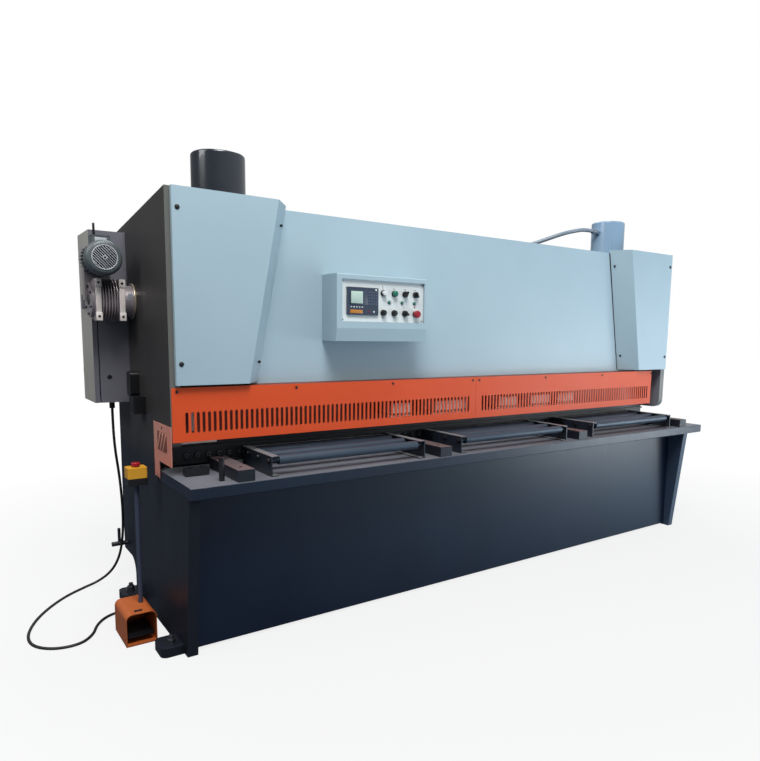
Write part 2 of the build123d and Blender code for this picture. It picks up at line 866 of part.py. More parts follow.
# Control box with a recessed window in its front
window_floor_y = box_front_y + window_depth
switch_face_y = window_floor_y - switch_plate_thickness
with BuildPart() as control_box:
    with BuildSketch(Plane.YZ.offset(box_left_x)):
        Polygon(
            (panel_front_y, box_bottom_z),
            (box_bottom_front_y, box_bottom_z),
            (box_front_y, box_fold_z),
            (box_front_y, box_top_z),
            (panel_front_y, box_top_z),
        )
    extrude(amount=box_right_x - box_left_x)
    fillet(control_box.edges().filter_by(Axis.X).group_by(Axis.Z)[-1].sort_by(Axis.Y)[0], box_edge_radius)
    with BuildSketch(Plane.XZ.offset(-box_front_y)):
        with Locations(((window_left_x + window_right_x) / 2, (window_bottom_z + window_top_z) / 2)):
            Rectangle(window_right_x - window_left_x, window_top_z - window_bottom_z)
    extrude(amount=-window_depth, mode=Mode.SUBTRACT)
write(control_box.part, "control_box")

with BuildPart() as switch_plate:
    box_between(
        (window_left_x, switch_face_y, window_bottom_z), (window_right_x, window_floor_y, window_top_z)
    )
write(switch_plate.part, "switch_plate")

with BuildPart() as gauge_controller:
    with BuildSketch(Plane.XZ.offset(-switch_face_y)):
        with Locations(
            ((controller_left_x + controller_right_x) / 2, (controller_bottom_z + controller_top_z) / 2)
        ):
            RectangleRounded(
                controller_right_x - controller_left_x,
                controller_top_z - controller_bottom_z,
                controller_corner,
            )
    extrude(amount=controller_height)
    with BuildSketch(Plane.XZ.offset(-switch_face_y + controller_height)):
        with Locations((screen_x, screen_z)):
            Rectangle(screen_width, screen_height)
    extrude(amount=-screen_depth, mode=Mode.SUBTRACT)
write(gauge_controller.part, "gauge_controller")

stop_x = switch_columns_x[3]
switch_places = [(x, upper_switch_z) for x in switch_columns_x]
switch_places += [(x, lower_switch_z) for x in switch_columns_x[:3]]
lamp_places = [(x, lamp_row_z) for x in lamp_columns_x]
with BuildPart() as panel_switches:
    with BuildSketch(Plane.XZ.offset(-switch_face_y)):
        with Locations(*switch_places):
            Circle(switch_ring_d / 2)
    extrude(amount=switch_ring_height)
    with BuildSketch(Plane.XZ.offset(-switch_face_y)):
        with Locations((stop_x, lower_switch_z)):
            Circle(switch_ring_d / 2)
            Circle(stop_stem_d / 2 + stop_clearance, mode=Mode.SUBTRACT)
    extrude(amount=stop_collar_height)
    with BuildSketch(Plane.XZ.offset(-switch_face_y + switch_ring_height)):
        with Locations(*switch_places):
            Circle(switch_cap_d / 2)
    extrude(amount=switch_cap_height)
    with BuildSketch(Plane.XZ.offset(-switch_face_y + switch_ring_height + switch_cap_height)):
        with Locations(*[place for place in switch_places if place not in switch_places[:2]]):
            Rectangle(knob_bar_width, switch_cap_d - 2)
    extrude(amount=knob_bar_height)
    with BuildSketch(Plane.XZ.offset(-switch_face_y)):
        with Locations(*lamp_places):
            Circle(lamp_d / 2)
    extrude(amount=lamp_height)
write(panel_switches.part, "panel_switches")

with BuildPart() as panel_stop:
    with BuildSketch(Plane.XZ.offset(-switch_face_y + stop_stem_start)):
        with Locations((stop_x, lower_switch_z)):
            Circle(stop_stem_d / 2)
    extrude(amount=stop_collar_height + stop_gap - stop_stem_start)
    with BuildSketch(Plane.XZ.offset(-switch_face_y + stop_collar_height + stop_gap)):
        with Locations((stop_x, lower_switch_z)):
            Circle(stop_head_d / 2)
    extrude(amount=stop_head_height)
    fillet(panel_stop.edges().group_by(Axis.Y)[0], stop_head_height / 3)
write(panel_stop.part, "panel_stop")

# Electrical cabinet: an open shell with a door on its outer side, hinged along the rear edge
door_inner_x = cabinet_left_x - door_gap
hinge_x = cabinet_left_x - door_gap / 2
hinge_y = cabinet_rear_y + hinge_knuckle_d / 2
hinge_low_zs = (
    cabinet_bottom_z + hinge_inset_z - hinge_knuckle_height,
    cabinet_top_z - hinge_inset_z - hinge_knuckle_height,
)
with BuildPart() as cabinet_body:
    box_between(
        (cabinet_left_x, cabinet_front_y, cabinet_bottom_z), (-plate_out, cabinet_rear_y, cabinet_top_z)
    )
    with BuildSketch(Plane.YZ.offset(cabinet_left_x)):
        with Locations(((cabinet_front_y + cabinet_rear_y) / 2, (cabinet_bottom_z + cabinet_top_z) / 2)):
            Rectangle(
                cabinet_rear_y - cabinet_front_y - 2 * cabinet_wall,
                cabinet_top_z - cabinet_bottom_z - 2 * cabinet_wall,
            )
    extrude(amount=cabinet_depth - cabinet_wall, mode=Mode.SUBTRACT)
    for low_z in hinge_low_zs:
        with BuildSketch(Plane.XY.offset(low_z)):
            with Locations((hinge_x, hinge_y)):
                Circle(hinge_knuckle_d / 2)
        extrude(amount=hinge_knuckle_height)
        box_between(
            (hinge_x, cabinet_rear_y, low_z),
            (
                hinge_x + hinge_strap_length,
                cabinet_rear_y + hinge_strap_thickness,
                low_z + hinge_knuckle_height,
            ),
        )
        with BuildSketch(Plane.XY.offset(low_z)):
            with Locations((hinge_x, hinge_y)):
                Circle(hinge_pin_d / 2)
        extrude(amount=2 * hinge_knuckle_height)
write(cabinet_body.part, "cabinet_body")

with BuildPart() as cabinet_door:
    box_between(
        (door_inner_x - door_thickness, cabinet_front_y, cabinet_bottom_z),
        (door_inner_x, cabinet_rear_y, cabinet_top_z),
    )
    with BuildSketch(Plane.YZ.offset(door_inner_x)):
        with Locations(((cabinet_front_y + cabinet_rear_y) / 2, (cabinet_bottom_z + cabinet_top_z) / 2)):
            Rectangle(
                cabinet_rear_y - cabinet_front_y - 2 * door_wall,
                cabinet_top_z - cabinet_bottom_z - 2 * door_wall,
            )
    extrude(amount=-(door_thickness - door_wall), mode=Mode.SUBTRACT)
    box_between(
        (
            door_inner_x - door_thickness - handle_reach,
            handle_y - handle_width / 2,
            handle_z - handle_height / 2,
        ),
        (door_inner_x - door_thickness, handle_y + handle_width / 2, handle_z + handle_height / 2),
    )
    for low_z in hinge_low_zs:
        knuckle_z = low_z + hinge_knuckle_height + hinge_clearance
        with BuildSketch(Plane.XY.offset(knuckle_z)):
            with Locations((hinge_x, hinge_y)):
                Circle(hinge_knuckle_d / 2)
        extrude(amount=hinge_knuckle_height)
        box_between(
            (hinge_x - hinge_strap_length, cabinet_rear_y, knuckle_z),
            (hinge_x, cabinet_rear_y + hinge_strap_thickness, knuckle_z + hinge_knuckle_height),
        )
        with BuildSketch(Plane.XY.offset(knuckle_z)):
            with Locations((hinge_x, hinge_y)):
                Circle(hinge_pin_d / 2 + hinge_clearance)
        extrude(amount=hinge_knuckle_height, mode=Mode.SUBTRACT)
write(cabinet_door.part, "cabinet_door")

# Motor of the blade gap adjuster, lying along Y with its cowl to the front
with BuildPart() as adjuster_motor:
    with BuildSketch(Plane.XZ.offset(-motor_front_y)):
        with Locations((motor_x, motor_z)):
            Circle(motor_d / 2)
    extrude(amount=-motor_cowl_length)
    fillet(adjuster_motor.edges().group_by(Axis.Y)[0], motor_cowl_radius)
    with BuildSketch(Plane.XZ.offset(-motor_front_y)):
        with Locations((motor_x, motor_z)):
            Circle(motor_grille_d / 2)
            Circle(motor_grille_d / 2 - motor_grille_rim, mode=Mode.SUBTRACT)
            Circle(motor_hub_d / 2)
    extrude(amount=-motor_grille_depth, mode=Mode.SUBTRACT)
    with BuildSketch(Plane.XZ.offset(-motor_front_y - motor_cowl_length)):
        with Locations((motor_x, motor_z)):
            Circle(motor_body_d / 2 - motor_fin_depth)
            with PolarLocations(motor_body_d / 2 - motor_fin_depth, motor_fin_count):
                Rectangle(2 * motor_fin_depth, motor_fin_width)
    extrude(amount=-(motor_length - motor_cowl_length))
    box_between(
        (
            motor_x - terminal_width / 2,
            motor_front_y + motor_cowl_length,
            motor_z + motor_d / 2 - 2 * motor_fin_depth,
        ),
        (
            motor_x + terminal_width / 2,
            motor_front_y + motor_cowl_length + terminal_length,
            motor_z + motor_d / 2 + terminal_height - motor_fin_depth,
        ),
    )
write(adjuster_motor.part, "adjuster_motor")

# Worm gearbox under the motor: a finned drum between two flanges, its output in the side plate
def flange_outline():
    """Draw a gearbox flange: a rounded plate with a drilled pad above and below at the front."""
    with Locations((gearbox_axis_y, gearbox_axis_z)):
        RectangleRounded(gearbox_flange_depth, gearbox_flange_height, gearbox_flange_radius)
    pad_y = gearbox_pad_front_y + gearbox_pad_depth / 2
    pad_z = (gearbox_height - gearbox_pad_height) / 2
    with Locations((pad_y, gearbox_axis_z - pad_z), (pad_y, gearbox_axis_z + pad_z)):
        Rectangle(gearbox_pad_depth, gearbox_pad_height)


drum_right_x = gearbox_right_x - gearbox_flange_thickness
drum_left_x = drum_right_x - gearbox_drum_length
flange_left_x = drum_left_x - gearbox_flange_thickness
input_front_y = motor_front_y + motor_length
with BuildPart() as adjuster_gearbox:
    for start_x, length, diameter in (
        (flange_left_x - gearbox_cap_length, gearbox_cap_length, gearbox_cap_d),
        (gearbox_right_x, -plate_out - gearbox_right_x, gearbox_output_d),
        (-plate_out - gearbox_ring_thickness, gearbox_ring_thickness, gearbox_ring_d),
    ):
        with BuildSketch(Plane.YZ.offset(start_x)):
            with Locations((gearbox_axis_y, gearbox_axis_z)):
                Circle(diameter / 2)
        extrude(amount=length)
    for flange_x in (flange_left_x, drum_right_x):
        with BuildSketch(Plane.YZ.offset(flange_x)):
            flange_outline()
        extrude(amount=gearbox_flange_thickness)
    with BuildSketch(Plane.YZ.offset(drum_left_x)):
        with Locations((gearbox_axis_y, gearbox_axis_z)):
            RectangleRounded(
                gearbox_flange_depth - 2 * gearbox_drum_inset,
                gearbox_flange_height - 2 * gearbox_drum_inset,
                gearbox_flange_radius - gearbox_drum_inset,
            )
    extrude(amount=gearbox_drum_length)
    fin_pitch = gearbox_drum_length / gearbox_fin_count
    for fin in range(gearbox_fin_count):
        with BuildSketch(Plane.YZ.offset(drum_left_x + fin_pitch * (fin + 0.5) - gearbox_fin_width / 2)):
            with Locations((gearbox_axis_y, gearbox_axis_z)):
                RectangleRounded(gearbox_flange_depth, gearbox_fin_height, gearbox_flange_radius)
        extrude(amount=gearbox_fin_width)
    box_between(
        (motor_x - gearbox_input_width / 2, input_front_y, gearbox_axis_z),
        (
            motor_x + gearbox_input_width / 2,
            input_front_y + gearbox_input_length,
            motor_z + gearbox_input_width / 2,
        ),
    )
    hole_places = [
        (x + gearbox_flange_thickness / 2, gearbox_axis_z + end * (gearbox_height - gearbox_pad_height) / 2)
        for x in (flange_left_x, drum_right_x)
        for end in (-1, 1)
    ]
    with BuildSketch(Plane.XZ.offset(-gearbox_pad_front_y)):
        with Locations(*hole_places):
            Circle(gearbox_pad_hole_d / 2)
    extrude(amount=-gearbox_pad_hole_depth, mode=Mode.SUBTRACT)
write(adjuster_gearbox.part, "adjuster_gearbox")

# Junction box, sensor box and drain cock on the left side plate
with BuildPart() as junction_box:
    box_between(
        (-plate_out - junction_x_depth, junction_y - junction_width / 2, junction_z - junction_height / 2),
        (-plate_out, junction_y + junction_width / 2, junction_z + junction_height / 2),
    )
    fillet(junction_box.faces().sort_by(Axis.X)[0].edges(), junction_edge_radius)
write(junction_box.part, "junction_box")

with BuildPart() as sensor_box:
    box_between(
        (-plate_out - sensor_x_depth, sensor_y - sensor_width / 2, sensor_z - sensor_height / 2),
        (-plate_out, sensor_y + sensor_width / 2, sensor_z + sensor_height / 2),
    )
    fillet(sensor_box.edges().filter_by(Axis.X), sensor_corner_radius)
write(sensor_box.part, "sensor_box")

with BuildPart() as drain_cock:
    with BuildSketch(Plane.YZ.offset(-plate_out)):
        with Locations((cock_y, cock_z)):
            Circle(cock_body_d / 2)
    extrude(amount=-cock_reach)
    box_between(
        (-plate_out - cock_handle_reach, cock_y - cock_handle_width / 2, cock_z),
        (
            -plate_out - cock_handle_reach + cock_handle_thickness,
            cock_y + cock_handle_width / 2,
            cock_z + cock_handle_height,
        ),
    )
write(drain_cock.part, "drain_cock")

# Foot switch: base and hood, open to the front, with the pedal inside
with BuildPart() as pedal_hood:
    with BuildSketch(Plane.XZ.offset(-hood_rear_y)) as hood_outline:
        with Locations(((hood_left_x + hood_right_x) / 2, hood_height / 2)):
            Rectangle(hood_right_x - hood_left_x, hood_height)
        fillet(hood_outline.vertices().group_by(Axis.Y)[-1], hood_radius)
    extrude(amount=hood_rear_y - hood_front_y)
    with BuildSketch(Plane.XZ.offset(-hood_front_y)) as hood_hollow:
        with Locations(
            ((hood_left_x + hood_right_x) / 2, (base_thickness + hood_height - hood_wall) / 2)
        ):
            Rectangle(
                hood_right_x - hood_left_x - 2 * hood_wall, hood_height - hood_wall - base_thickness
            )
        fillet(hood_hollow.vertices().group_by(Axis.Y)[-1], hood_radius - hood_wall)
    extrude(amount=-(hood_rear_y - hood_front_y - hood_wall), mode=Mode.SUBTRACT)
    with BuildSketch(Plane.YZ.offset(hood_left_x)):
        with Locations((pedal_pivot_y, pedal_pivot_z)):
            Circle(pedal_pin_d / 2 + pedal_pin_clearance)
    extrude(amount=hood_right_x - hood_left_x, mode=Mode.SUBTRACT)
write(pedal_hood.part, "pedal_hood")

with BuildPart() as foot_pedal:
    box_between(
        (
            hood_left_x + hood_wall + pedal_side_gap,
            hood_front_y + pedal_front_gap,
            pedal_pivot_z - pedal_thickness / 2,
        ),
        (hood_right_x - hood_wall - pedal_side_gap, pedal_pivot_y, pedal_pivot_z + pedal_thickness / 2),
    )
    with BuildSketch(Plane.YZ.offset(hood_left_x)):
        with Locations((pedal_pivot_y, pedal_pivot_z)):
            Circle(pedal_pin_d / 2)
    extrude(amount=hood_right_x - hood_left_x)
write(foot_pedal.part, "foot_pedal")

with BuildPart() as pedal_pole:
    with BuildSketch(Plane.XY.offset(hood_height)):
        with Locations((pole_x, pole_y)):
            Circle(pole_d / 2)
    extrude(amount=pole_top_z - hood_height)
write(pedal_pole.part, "pedal_pole")

stop_box_mid_z = pole_top_z + stop_base_height
stop_box_top_z = stop_box_mid_z + stop_cover_height
with BuildPart() as stop_box:
    with BuildSketch(Plane.XY.offset(pole_top_z)):
        with Locations((pole_x, pole_y)):
            RectangleRounded(stop_box_width, stop_box_depth, stop_box_corner)
    extrude(amount=stop_base_height + stop_cover_height)
    with BuildSketch(Plane.XY.offset(stop_box_top_z)):
        with Locations((pole_x, pole_y)):
            Circle(stop_stem_d / 2 + stop_clearance)
    extrude(amount=-stop_bore_depth, mode=Mode.SUBTRACT)
write(stop_box.part, "stop_box")

with BuildPart() as pedal_stop:
    with BuildSketch(Plane.XY.offset(stop_box_top_z - stop_stem_depth)):
        with Locations((pole_x, pole_y)):
            Circle(stop_stem_d / 2)
    extrude(amount=stop_stem_depth + stop_gap)
    with BuildSketch(Plane.XY.offset(stop_box_top_z + stop_gap)):
        with Locations((pole_x, pole_y)):
            Circle(stop_head_d / 2)
    extrude(amount=stop_head_height)
    fillet(pedal_stop.edges().group_by(Axis.Z)[-1], stop_head_height / 3)
write(pedal_stop.part, "pedal_stop")

# Cable glands under the cabinet and behind the foot switch
with BuildPart() as cable_glands:
    with BuildSketch(Plane.XY.offset(cabinet_bottom_z)):
        with Locations((cable_exit_x, cable_exit_y)):
            Circle(gland_d / 2)
    extrude(amount=-gland_length)
    with BuildSketch(Plane.XZ.offset(-hood_rear_y)):
        with Locations((inlet_x, inlet_z)):
            Circle(gland_d / 2)
    extrude(amount=-gland_length)
write(cable_glands.part, "cable_glands")

# Foot switch cable: down from the cabinet, over the floor in a wide loop
floor_z = cable_d / 2
cable_points = [
    (cable_exit_x, cable_exit_y, cabinet_bottom_z - gland_length),
    (cable_exit_x, cable_exit_y, 950),
    (-1988, 486, 815),
    (-1966, 514, 670),
    (-1952, 538, 520),
    (-1946, 560, 385),
    (-1950, 578, 270),
    (-1966, 600, 165),
    (-2004, 632, 78),
    (-2072, 660, 22),
    (-2160, 640, floor_z),
    (-2262, 560, floor_z),
    (-2360, 440, floor_z),
    (-2440, 300, floor_z),
    (-2490, 140, floor_z),
    (-2480, 10, floor_z),
    (-2400, -75, floor_z),
    (-2290, -85, floor_z),
    (-2222, -10, floor_z),
    (-2190, 86, floor_z),
    (-2140, 152, floor_z + 2),
    (-2082, 172, floor_z + 8),
    (-2028, 150, inlet_z - 3),
    (inlet_x, 97, inlet_z),
    (inlet_x, hood_rear_y + gland_length, inlet_z),
]


def corner_radii(points):
    """Return an arc radius for each inner point of a route."""
    radii = []
    for before, here, after in zip(points, points[1:], points[2:]):
        run_in = Vector(*here) - Vector(*before)
        run_out = Vector(*after) - Vector(*here)
        half_turn = radians(run_in.get_angle(run_out)) / 2
        radii.append(cable_bend_share * min(run_in.length, run_out.length) / tan(half_turn))
    return radii


cable_radii = corner_radii(cable_points)
with BuildPart() as pedal_cable:
    with BuildLine() as cable_line:
        FilletPolyline(*cable_points, radius=cable_radii)
    cable_start = Vector(*cable_points[1]) - Vector(*cable_points[0])
    with BuildSketch(Plane(origin=cable_points[0], z_dir=cable_start)):
        Circle(cable_d / 2)
    sweep(path=cable_line.line)
write(pedal_cable.part, "pedal_cable")
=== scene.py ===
"""Looks of a hydraulic guillotine shear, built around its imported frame.

Every length is in metres, in the frame of the part: the origin on the floor between the
foundation bolts, +X to the operator's right, +Y to the rear and +Z up.
"""

import json
import logging
import math
from dataclasses import dataclass, field
from enum import Enum, StrEnum, auto

import bpy
from mathutils import Matrix, Vector

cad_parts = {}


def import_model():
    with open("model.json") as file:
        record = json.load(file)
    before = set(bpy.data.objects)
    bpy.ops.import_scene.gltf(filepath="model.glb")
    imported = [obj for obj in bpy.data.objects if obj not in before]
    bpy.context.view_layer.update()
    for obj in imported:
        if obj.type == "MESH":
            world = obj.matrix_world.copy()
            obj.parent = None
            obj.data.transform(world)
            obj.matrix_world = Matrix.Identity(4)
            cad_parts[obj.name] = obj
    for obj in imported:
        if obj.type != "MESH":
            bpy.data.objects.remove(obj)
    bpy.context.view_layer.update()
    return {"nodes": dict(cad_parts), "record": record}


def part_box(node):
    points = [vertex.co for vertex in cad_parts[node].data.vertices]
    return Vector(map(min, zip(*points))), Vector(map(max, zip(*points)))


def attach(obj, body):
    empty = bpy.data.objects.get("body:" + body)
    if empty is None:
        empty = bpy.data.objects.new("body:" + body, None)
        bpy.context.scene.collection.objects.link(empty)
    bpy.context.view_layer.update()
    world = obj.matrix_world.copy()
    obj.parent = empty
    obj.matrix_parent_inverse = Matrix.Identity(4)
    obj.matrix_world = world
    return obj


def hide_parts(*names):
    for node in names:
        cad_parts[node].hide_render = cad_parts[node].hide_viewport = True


LOG = logging.getLogger("shear")
ROOT = "root"

# A Span is both ends of a range or a pair of measures. A Row is any number of measures. A Tone is a
# linear colour or the socket that gives one.
Point = tuple[float, float, float]
Colour = tuple[float, float, float]
Span = tuple[float, float]
Row = tuple[float, ...]
Material = bpy.types.Material
Tree = bpy.types.NodeTree
Socket = bpy.types.NodeSocket
Tone = Socket | Colour

WHITE = (1.0, 1.0, 1.0)
COOL = (0.9, 0.96, 1.0)
FORWARD = (0.0, -1.0, 0.0)
UPWARD = (0.0, 0.0, 1.0)
LEFTWARD = (-1.0, 0.0, 0.0)
UNTURNED = (0.0, 0.0, 0.0)
FACING_FROM = 0.6
FACING_FULLY = 0.9
WORN_SHARE = 0.72
SMOOTH_ANGLE = math.radians(35.0)

# Widths on a screw, as shares of its head's diameter.
HEAD_BEVEL = 0.06
SOCKET_WIDTH = 0.55
SOCKET_RIM = 0.05


class Axis(Enum):
    """Direction that a round piece points in."""

    X = (0.0, math.pi / 2, 0.0)
    Y = (math.pi / 2, 0.0, 0.0)
    Z = (0.0, 0.0, 0.0)


class Slot(StrEnum):
    """Material slot of the record, one for each finish of the machine."""

    DARK_FRAME = auto()
    LIGHT_PANEL = auto()
    GUARD_ORANGE = auto()
    TOOL_STEEL = auto()
    ARM_STEEL = auto()
    ROLLER_STEEL = auto()
    ROD_CHROME = auto()
    SWITCH_WHITE = auto()
    BLACK_PLASTIC = auto()
    MOTOR_GREY = auto()
    GEAR_ALLOY = auto()
    PIPE_BLACK = auto()
    PEDAL_ORANGE = auto()
    STOP_YELLOW = auto()
    STOP_RED = auto()
    CABLE_BLACK = auto()


class Look(StrEnum):
    """Finish that differs from the plain one of its slot."""

    SIDE_PAINT = auto()
    CABINET_PAINT = auto()
    FRAME_WORN = auto()
    PALE_PIPE = auto()
    WINDOW_BROWN = auto()
    TABLE_PAINT = auto()
    FADED_GUARD = auto()
    DARK_CYLINDER = auto()
    BLUE_CYLINDER = auto()
    BLOCK_STEEL = auto()
    TWO_TONE_STOP = auto()
    DARK_STEEL = auto()
    BARE_STRAP = auto()
    BRONZE = auto()
    PALE_PLATE = auto()
    CAP_GREEN = auto()
    SCREEN_PALE = auto()
    SCREEN_AMBER = auto()
    KEY_BLUE = auto()
    PRINT_DARK = auto()
    PRINT_BROWN = auto()
    CONTROLLER_FACE = auto()
    POLE_PAINT = auto()
    LIT_BLOCK = auto()
    BEAM_PAINT = auto()
    RIGHT_PAINT = auto()


def linear(colour: Colour) -> Colour:
    """Turn a screen colour into the linear colour that shaders use.

    Args:
        colour: Red, green and blue from 0 to 255.

    Returns:
        The linear colour, each part from 0 to 1.
    """
    parts = tuple(part / 255 for part in colour)
    return tuple(p / 12.92 if p <= 0.04045 else ((p + 0.055) / 1.055) ** 2.4 for p in parts)


def around(middle: float, width: float) -> Span:
    """Give both ends of a range.

    Args:
        middle: Its middle.
        width: Its width, negative for a range that falls.

    Returns:
        Its first and its last value.
    """
    return middle - width / 2, middle + width / 2


def stretch(tree: Tree, value: Socket, given: Span, wanted: Span = (0.0, 1.0)) -> Socket:
    """Stretch one range of a value to another, and hold it at the ends.

    Args:
        tree: The nodes to add to.
        value: Socket with the value.
        given: First and last value of the range.
        wanted: What these two become.

    Returns:
        The socket with the result.
    """
    ramp = tree.nodes.new("ShaderNodeMapRange")
    for label, number in zip(("From Min", "From Max", "To Min", "To Max"), (*given, *wanted)):
        ramp.inputs[label].default_value = number
    tree.links.new(value, ramp.inputs["Value"])
    return ramp.outputs["Result"]


def blend(tree: Tree, share: Socket, first: Tone, second: Tone) -> Socket:
    """Mix two colours by a share.

    Args:
        tree: The nodes to add to.
        share: Socket with the share of the second colour.
        first: Socket or colour at share 0.
        second: Socket or colour at share 1.

    Returns:
        The socket with the mixed colour.
    """
    mix = tree.nodes.new("ShaderNodeMix")
    mix.data_type = "RGBA"
    tree.links.new(share, mix.inputs["Factor"])
    for label, tone in (("A", first), ("B", second)):
        if isinstance(tone, tuple):
            mix.inputs[label].default_value = (*tone, 1.0)
        else:
            tree.links.new(tone, mix.inputs[label])
    return mix.outputs["Result"]


class GroupBuilder:
    """Builds the shader node groups that several finishes share."""

    @staticmethod
    def start(
        name: str, inputs: dict[str, float], outputs: list[str]
    ) -> tuple[Tree, bpy.types.Node, bpy.types.Node]:
        """Make an empty group with its sockets.

        Args:
            name: Name of the group.
            inputs: Name and default of each input.
            outputs: Name of each output.

        Returns:
            The group, its input node and its output node.
        """
        tree = bpy.data.node_groups.new(name, "ShaderNodeTree")
        for label, value in inputs.items():
            socket = tree.interface.new_socket(label, in_out="INPUT", socket_type="NodeSocketFloat")
            socket.default_value = value
        for label in outputs:
            tree.interface.new_socket(label, in_out="OUTPUT", socket_type="NodeSocketFloat")
        return tree, tree.nodes.new("NodeGroupInput"), tree.nodes.new("NodeGroupOutput")

    @classmethod
    def cloud(cls) -> Tree:
        """Make the group that gives soft patches of tone, a fine speckle and upright streaks.

        Returns:
            A group with the inputs Patch scale and Speckle scale, and the outputs Patch,
            Speckle and Streak, each from 0 to 1.
        """
        scales = {"Patch scale": 2.0, "Speckle scale": 120.0}
        tree, entry, exit_node = cls.start("patch_and_speckle", scales, ["Patch", "Speckle", "Streak"])
        coords = tree.nodes.new("ShaderNodeTexCoord")
        for label, detail, scale_from, squeeze in (
            ("Patch", 4.0, "Patch scale", (1.0, 1.0, 1.0)),
            ("Speckle", 2.0, "Speckle scale", (1.0, 1.0, 1.0)),
            ("Streak", 3.0, "Patch scale", (9.0, 9.0, 0.7)),
        ):
            mapping = tree.nodes.new("ShaderNodeMapping")
            mapping.inputs["Scale"].default_value = squeeze
            noise = tree.nodes.new("ShaderNodeTexNoise")
            noise.inputs["Detail"].default_value = detail
            tree.links.new(coords.outputs["Object"], mapping.inputs["Vector"])
            tree.links.new(mapping.outputs["Vector"], noise.inputs["Vector"])
            tree.links.new(entry.outputs[scale_from], noise.inputs["Scale"])
            tree.links.new(noise.outputs["Fac"], exit_node.inputs[label])
        return tree

    @classmethod
    def facing(cls) -> Tree:
        """Make the group that finds the faces that look up, to the front and to the left.

        Returns:
            A group with the outputs Up, Front and Left, each 1 on such a face and 0 on others.
        """
        tree, _, exit_node = cls.start("facing", {}, ["Up", "Front", "Left"])
        geometry = tree.nodes.new("ShaderNodeNewGeometry")
        split = tree.nodes.new("ShaderNodeSeparateXYZ")
        tree.links.new(geometry.outputs["Normal"], split.inputs["Vector"])
        for label, axis, sign in (("Up", "Z", 1.0), ("Front", "Y", -1.0), ("Left", "X", -1.0)):
            turned = stretch(tree, split.outputs[axis], (sign * FACING_FROM, sign * FACING_FULLY))
            tree.links.new(turned, exit_node.inputs[label])
        return tree


@dataclass(frozen=True)
class Finish:
    """One surface finish: its colours as a screen shows them, 0 to 255, and the grain of its paint."""

    key: Slot | Look
    colour: Colour
    tint: Colour
    slot: Slot | None = None
    metallic: float = 0.0
    roughness: float = 0.45
    rough_spread: float = 0.12
    patch_scale: float = 2.0
    patch_share: float = 0.5
    speckle_scale: float = 260.0
    bump: float = 0.05
    bump_depth: float = 0.0004
    coat: float = 0.0
    specular: float = 0.5
    top: Colour | None = None
    front: Colour | None = None
    left: Colour | None = None
    base: Colour | None = None
    base_height: float = 0.0
    base_fade: float = 0.002

    def tone(self, tree: Tree, patches: Socket, facing: Tree) -> Socket:
        """Mix the paint: patches, then faces coloured by where they look, then the foot of the piece.

        Args:
            tree: The material's nodes.
            patches: Socket with the share of the tint.
            facing: The shared group that finds faces by where they look.

        Returns:
            The socket with the colour.
        """
        tone = blend(tree, patches, linear(self.colour), linear(self.tint))
        # On some finishes these face colours are painted light, shade or sheen; on others they are wear.
        for label, face_tone in (("Up", self.top), ("Front", self.front), ("Left", self.left)):
            if face_tone is not None:
                faces = tree.nodes.new("ShaderNodeGroup")
                faces.node_tree = facing
                clean = linear(face_tone)
                face_wear_and_light = blend(tree, patches, clean, tuple(part * WORN_SHARE for part in clean))
                tone = blend(tree, faces.outputs[label], tone, face_wear_and_light)
        if self.base is not None:
            coords = tree.nodes.new("ShaderNodeTexCoord")
            split = tree.nodes.new("ShaderNodeSeparateXYZ")
            tree.links.new(coords.outputs["Object"], split.inputs["Vector"])
            below = stretch(tree, split.outputs["Z"], around(self.base_height, -self.base_fade))
            tone = blend(tree, below, tone, linear(self.base))
        return tone

    def build(self, cloud: Tree, facing: Tree) -> Material:
        """Make the material.

        Args:
            cloud: The shared group of patches and speckle.
            facing: The shared group that finds faces by where they look.

        Returns:
            The new material.
        """
        material = bpy.data.materials.new(f"{self.key.value}_finish")
        material.use_nodes = True
        tree = material.node_tree
        shader = tree.nodes["Principled BSDF"]
        shader.inputs["Metallic"].default_value = self.metallic
        shader.inputs["Coat Weight"].default_value = self.coat
        shader.inputs["Specular IOR Level"].default_value = self.specular
        group = tree.nodes.new("ShaderNodeGroup")
        group.node_tree = cloud
        group.inputs["Patch scale"].default_value = self.patch_scale
        group.inputs["Speckle scale"].default_value = self.speckle_scale
        patches = stretch(tree, group.outputs["Patch"], around(0.5, self.patch_share))
        tree.links.new(self.tone(tree, patches, facing), shader.inputs["Base Color"])
        rough = stretch(tree, group.outputs["Streak"], (0.0, 1.0), around(self.roughness, self.rough_spread))
        tree.links.new(rough, shader.inputs["Roughness"])
        bump = tree.nodes.new("ShaderNodeBump")
        bump.inputs["Strength"].default_value = self.bump
        bump.inputs["Distance"].default_value = self.bump_depth
        tree.links.new(group.outputs["Speckle"], bump.inputs["Height"])
        tree.links.new(bump.outputs["Normal"], shader.inputs["Normal"])
        return material


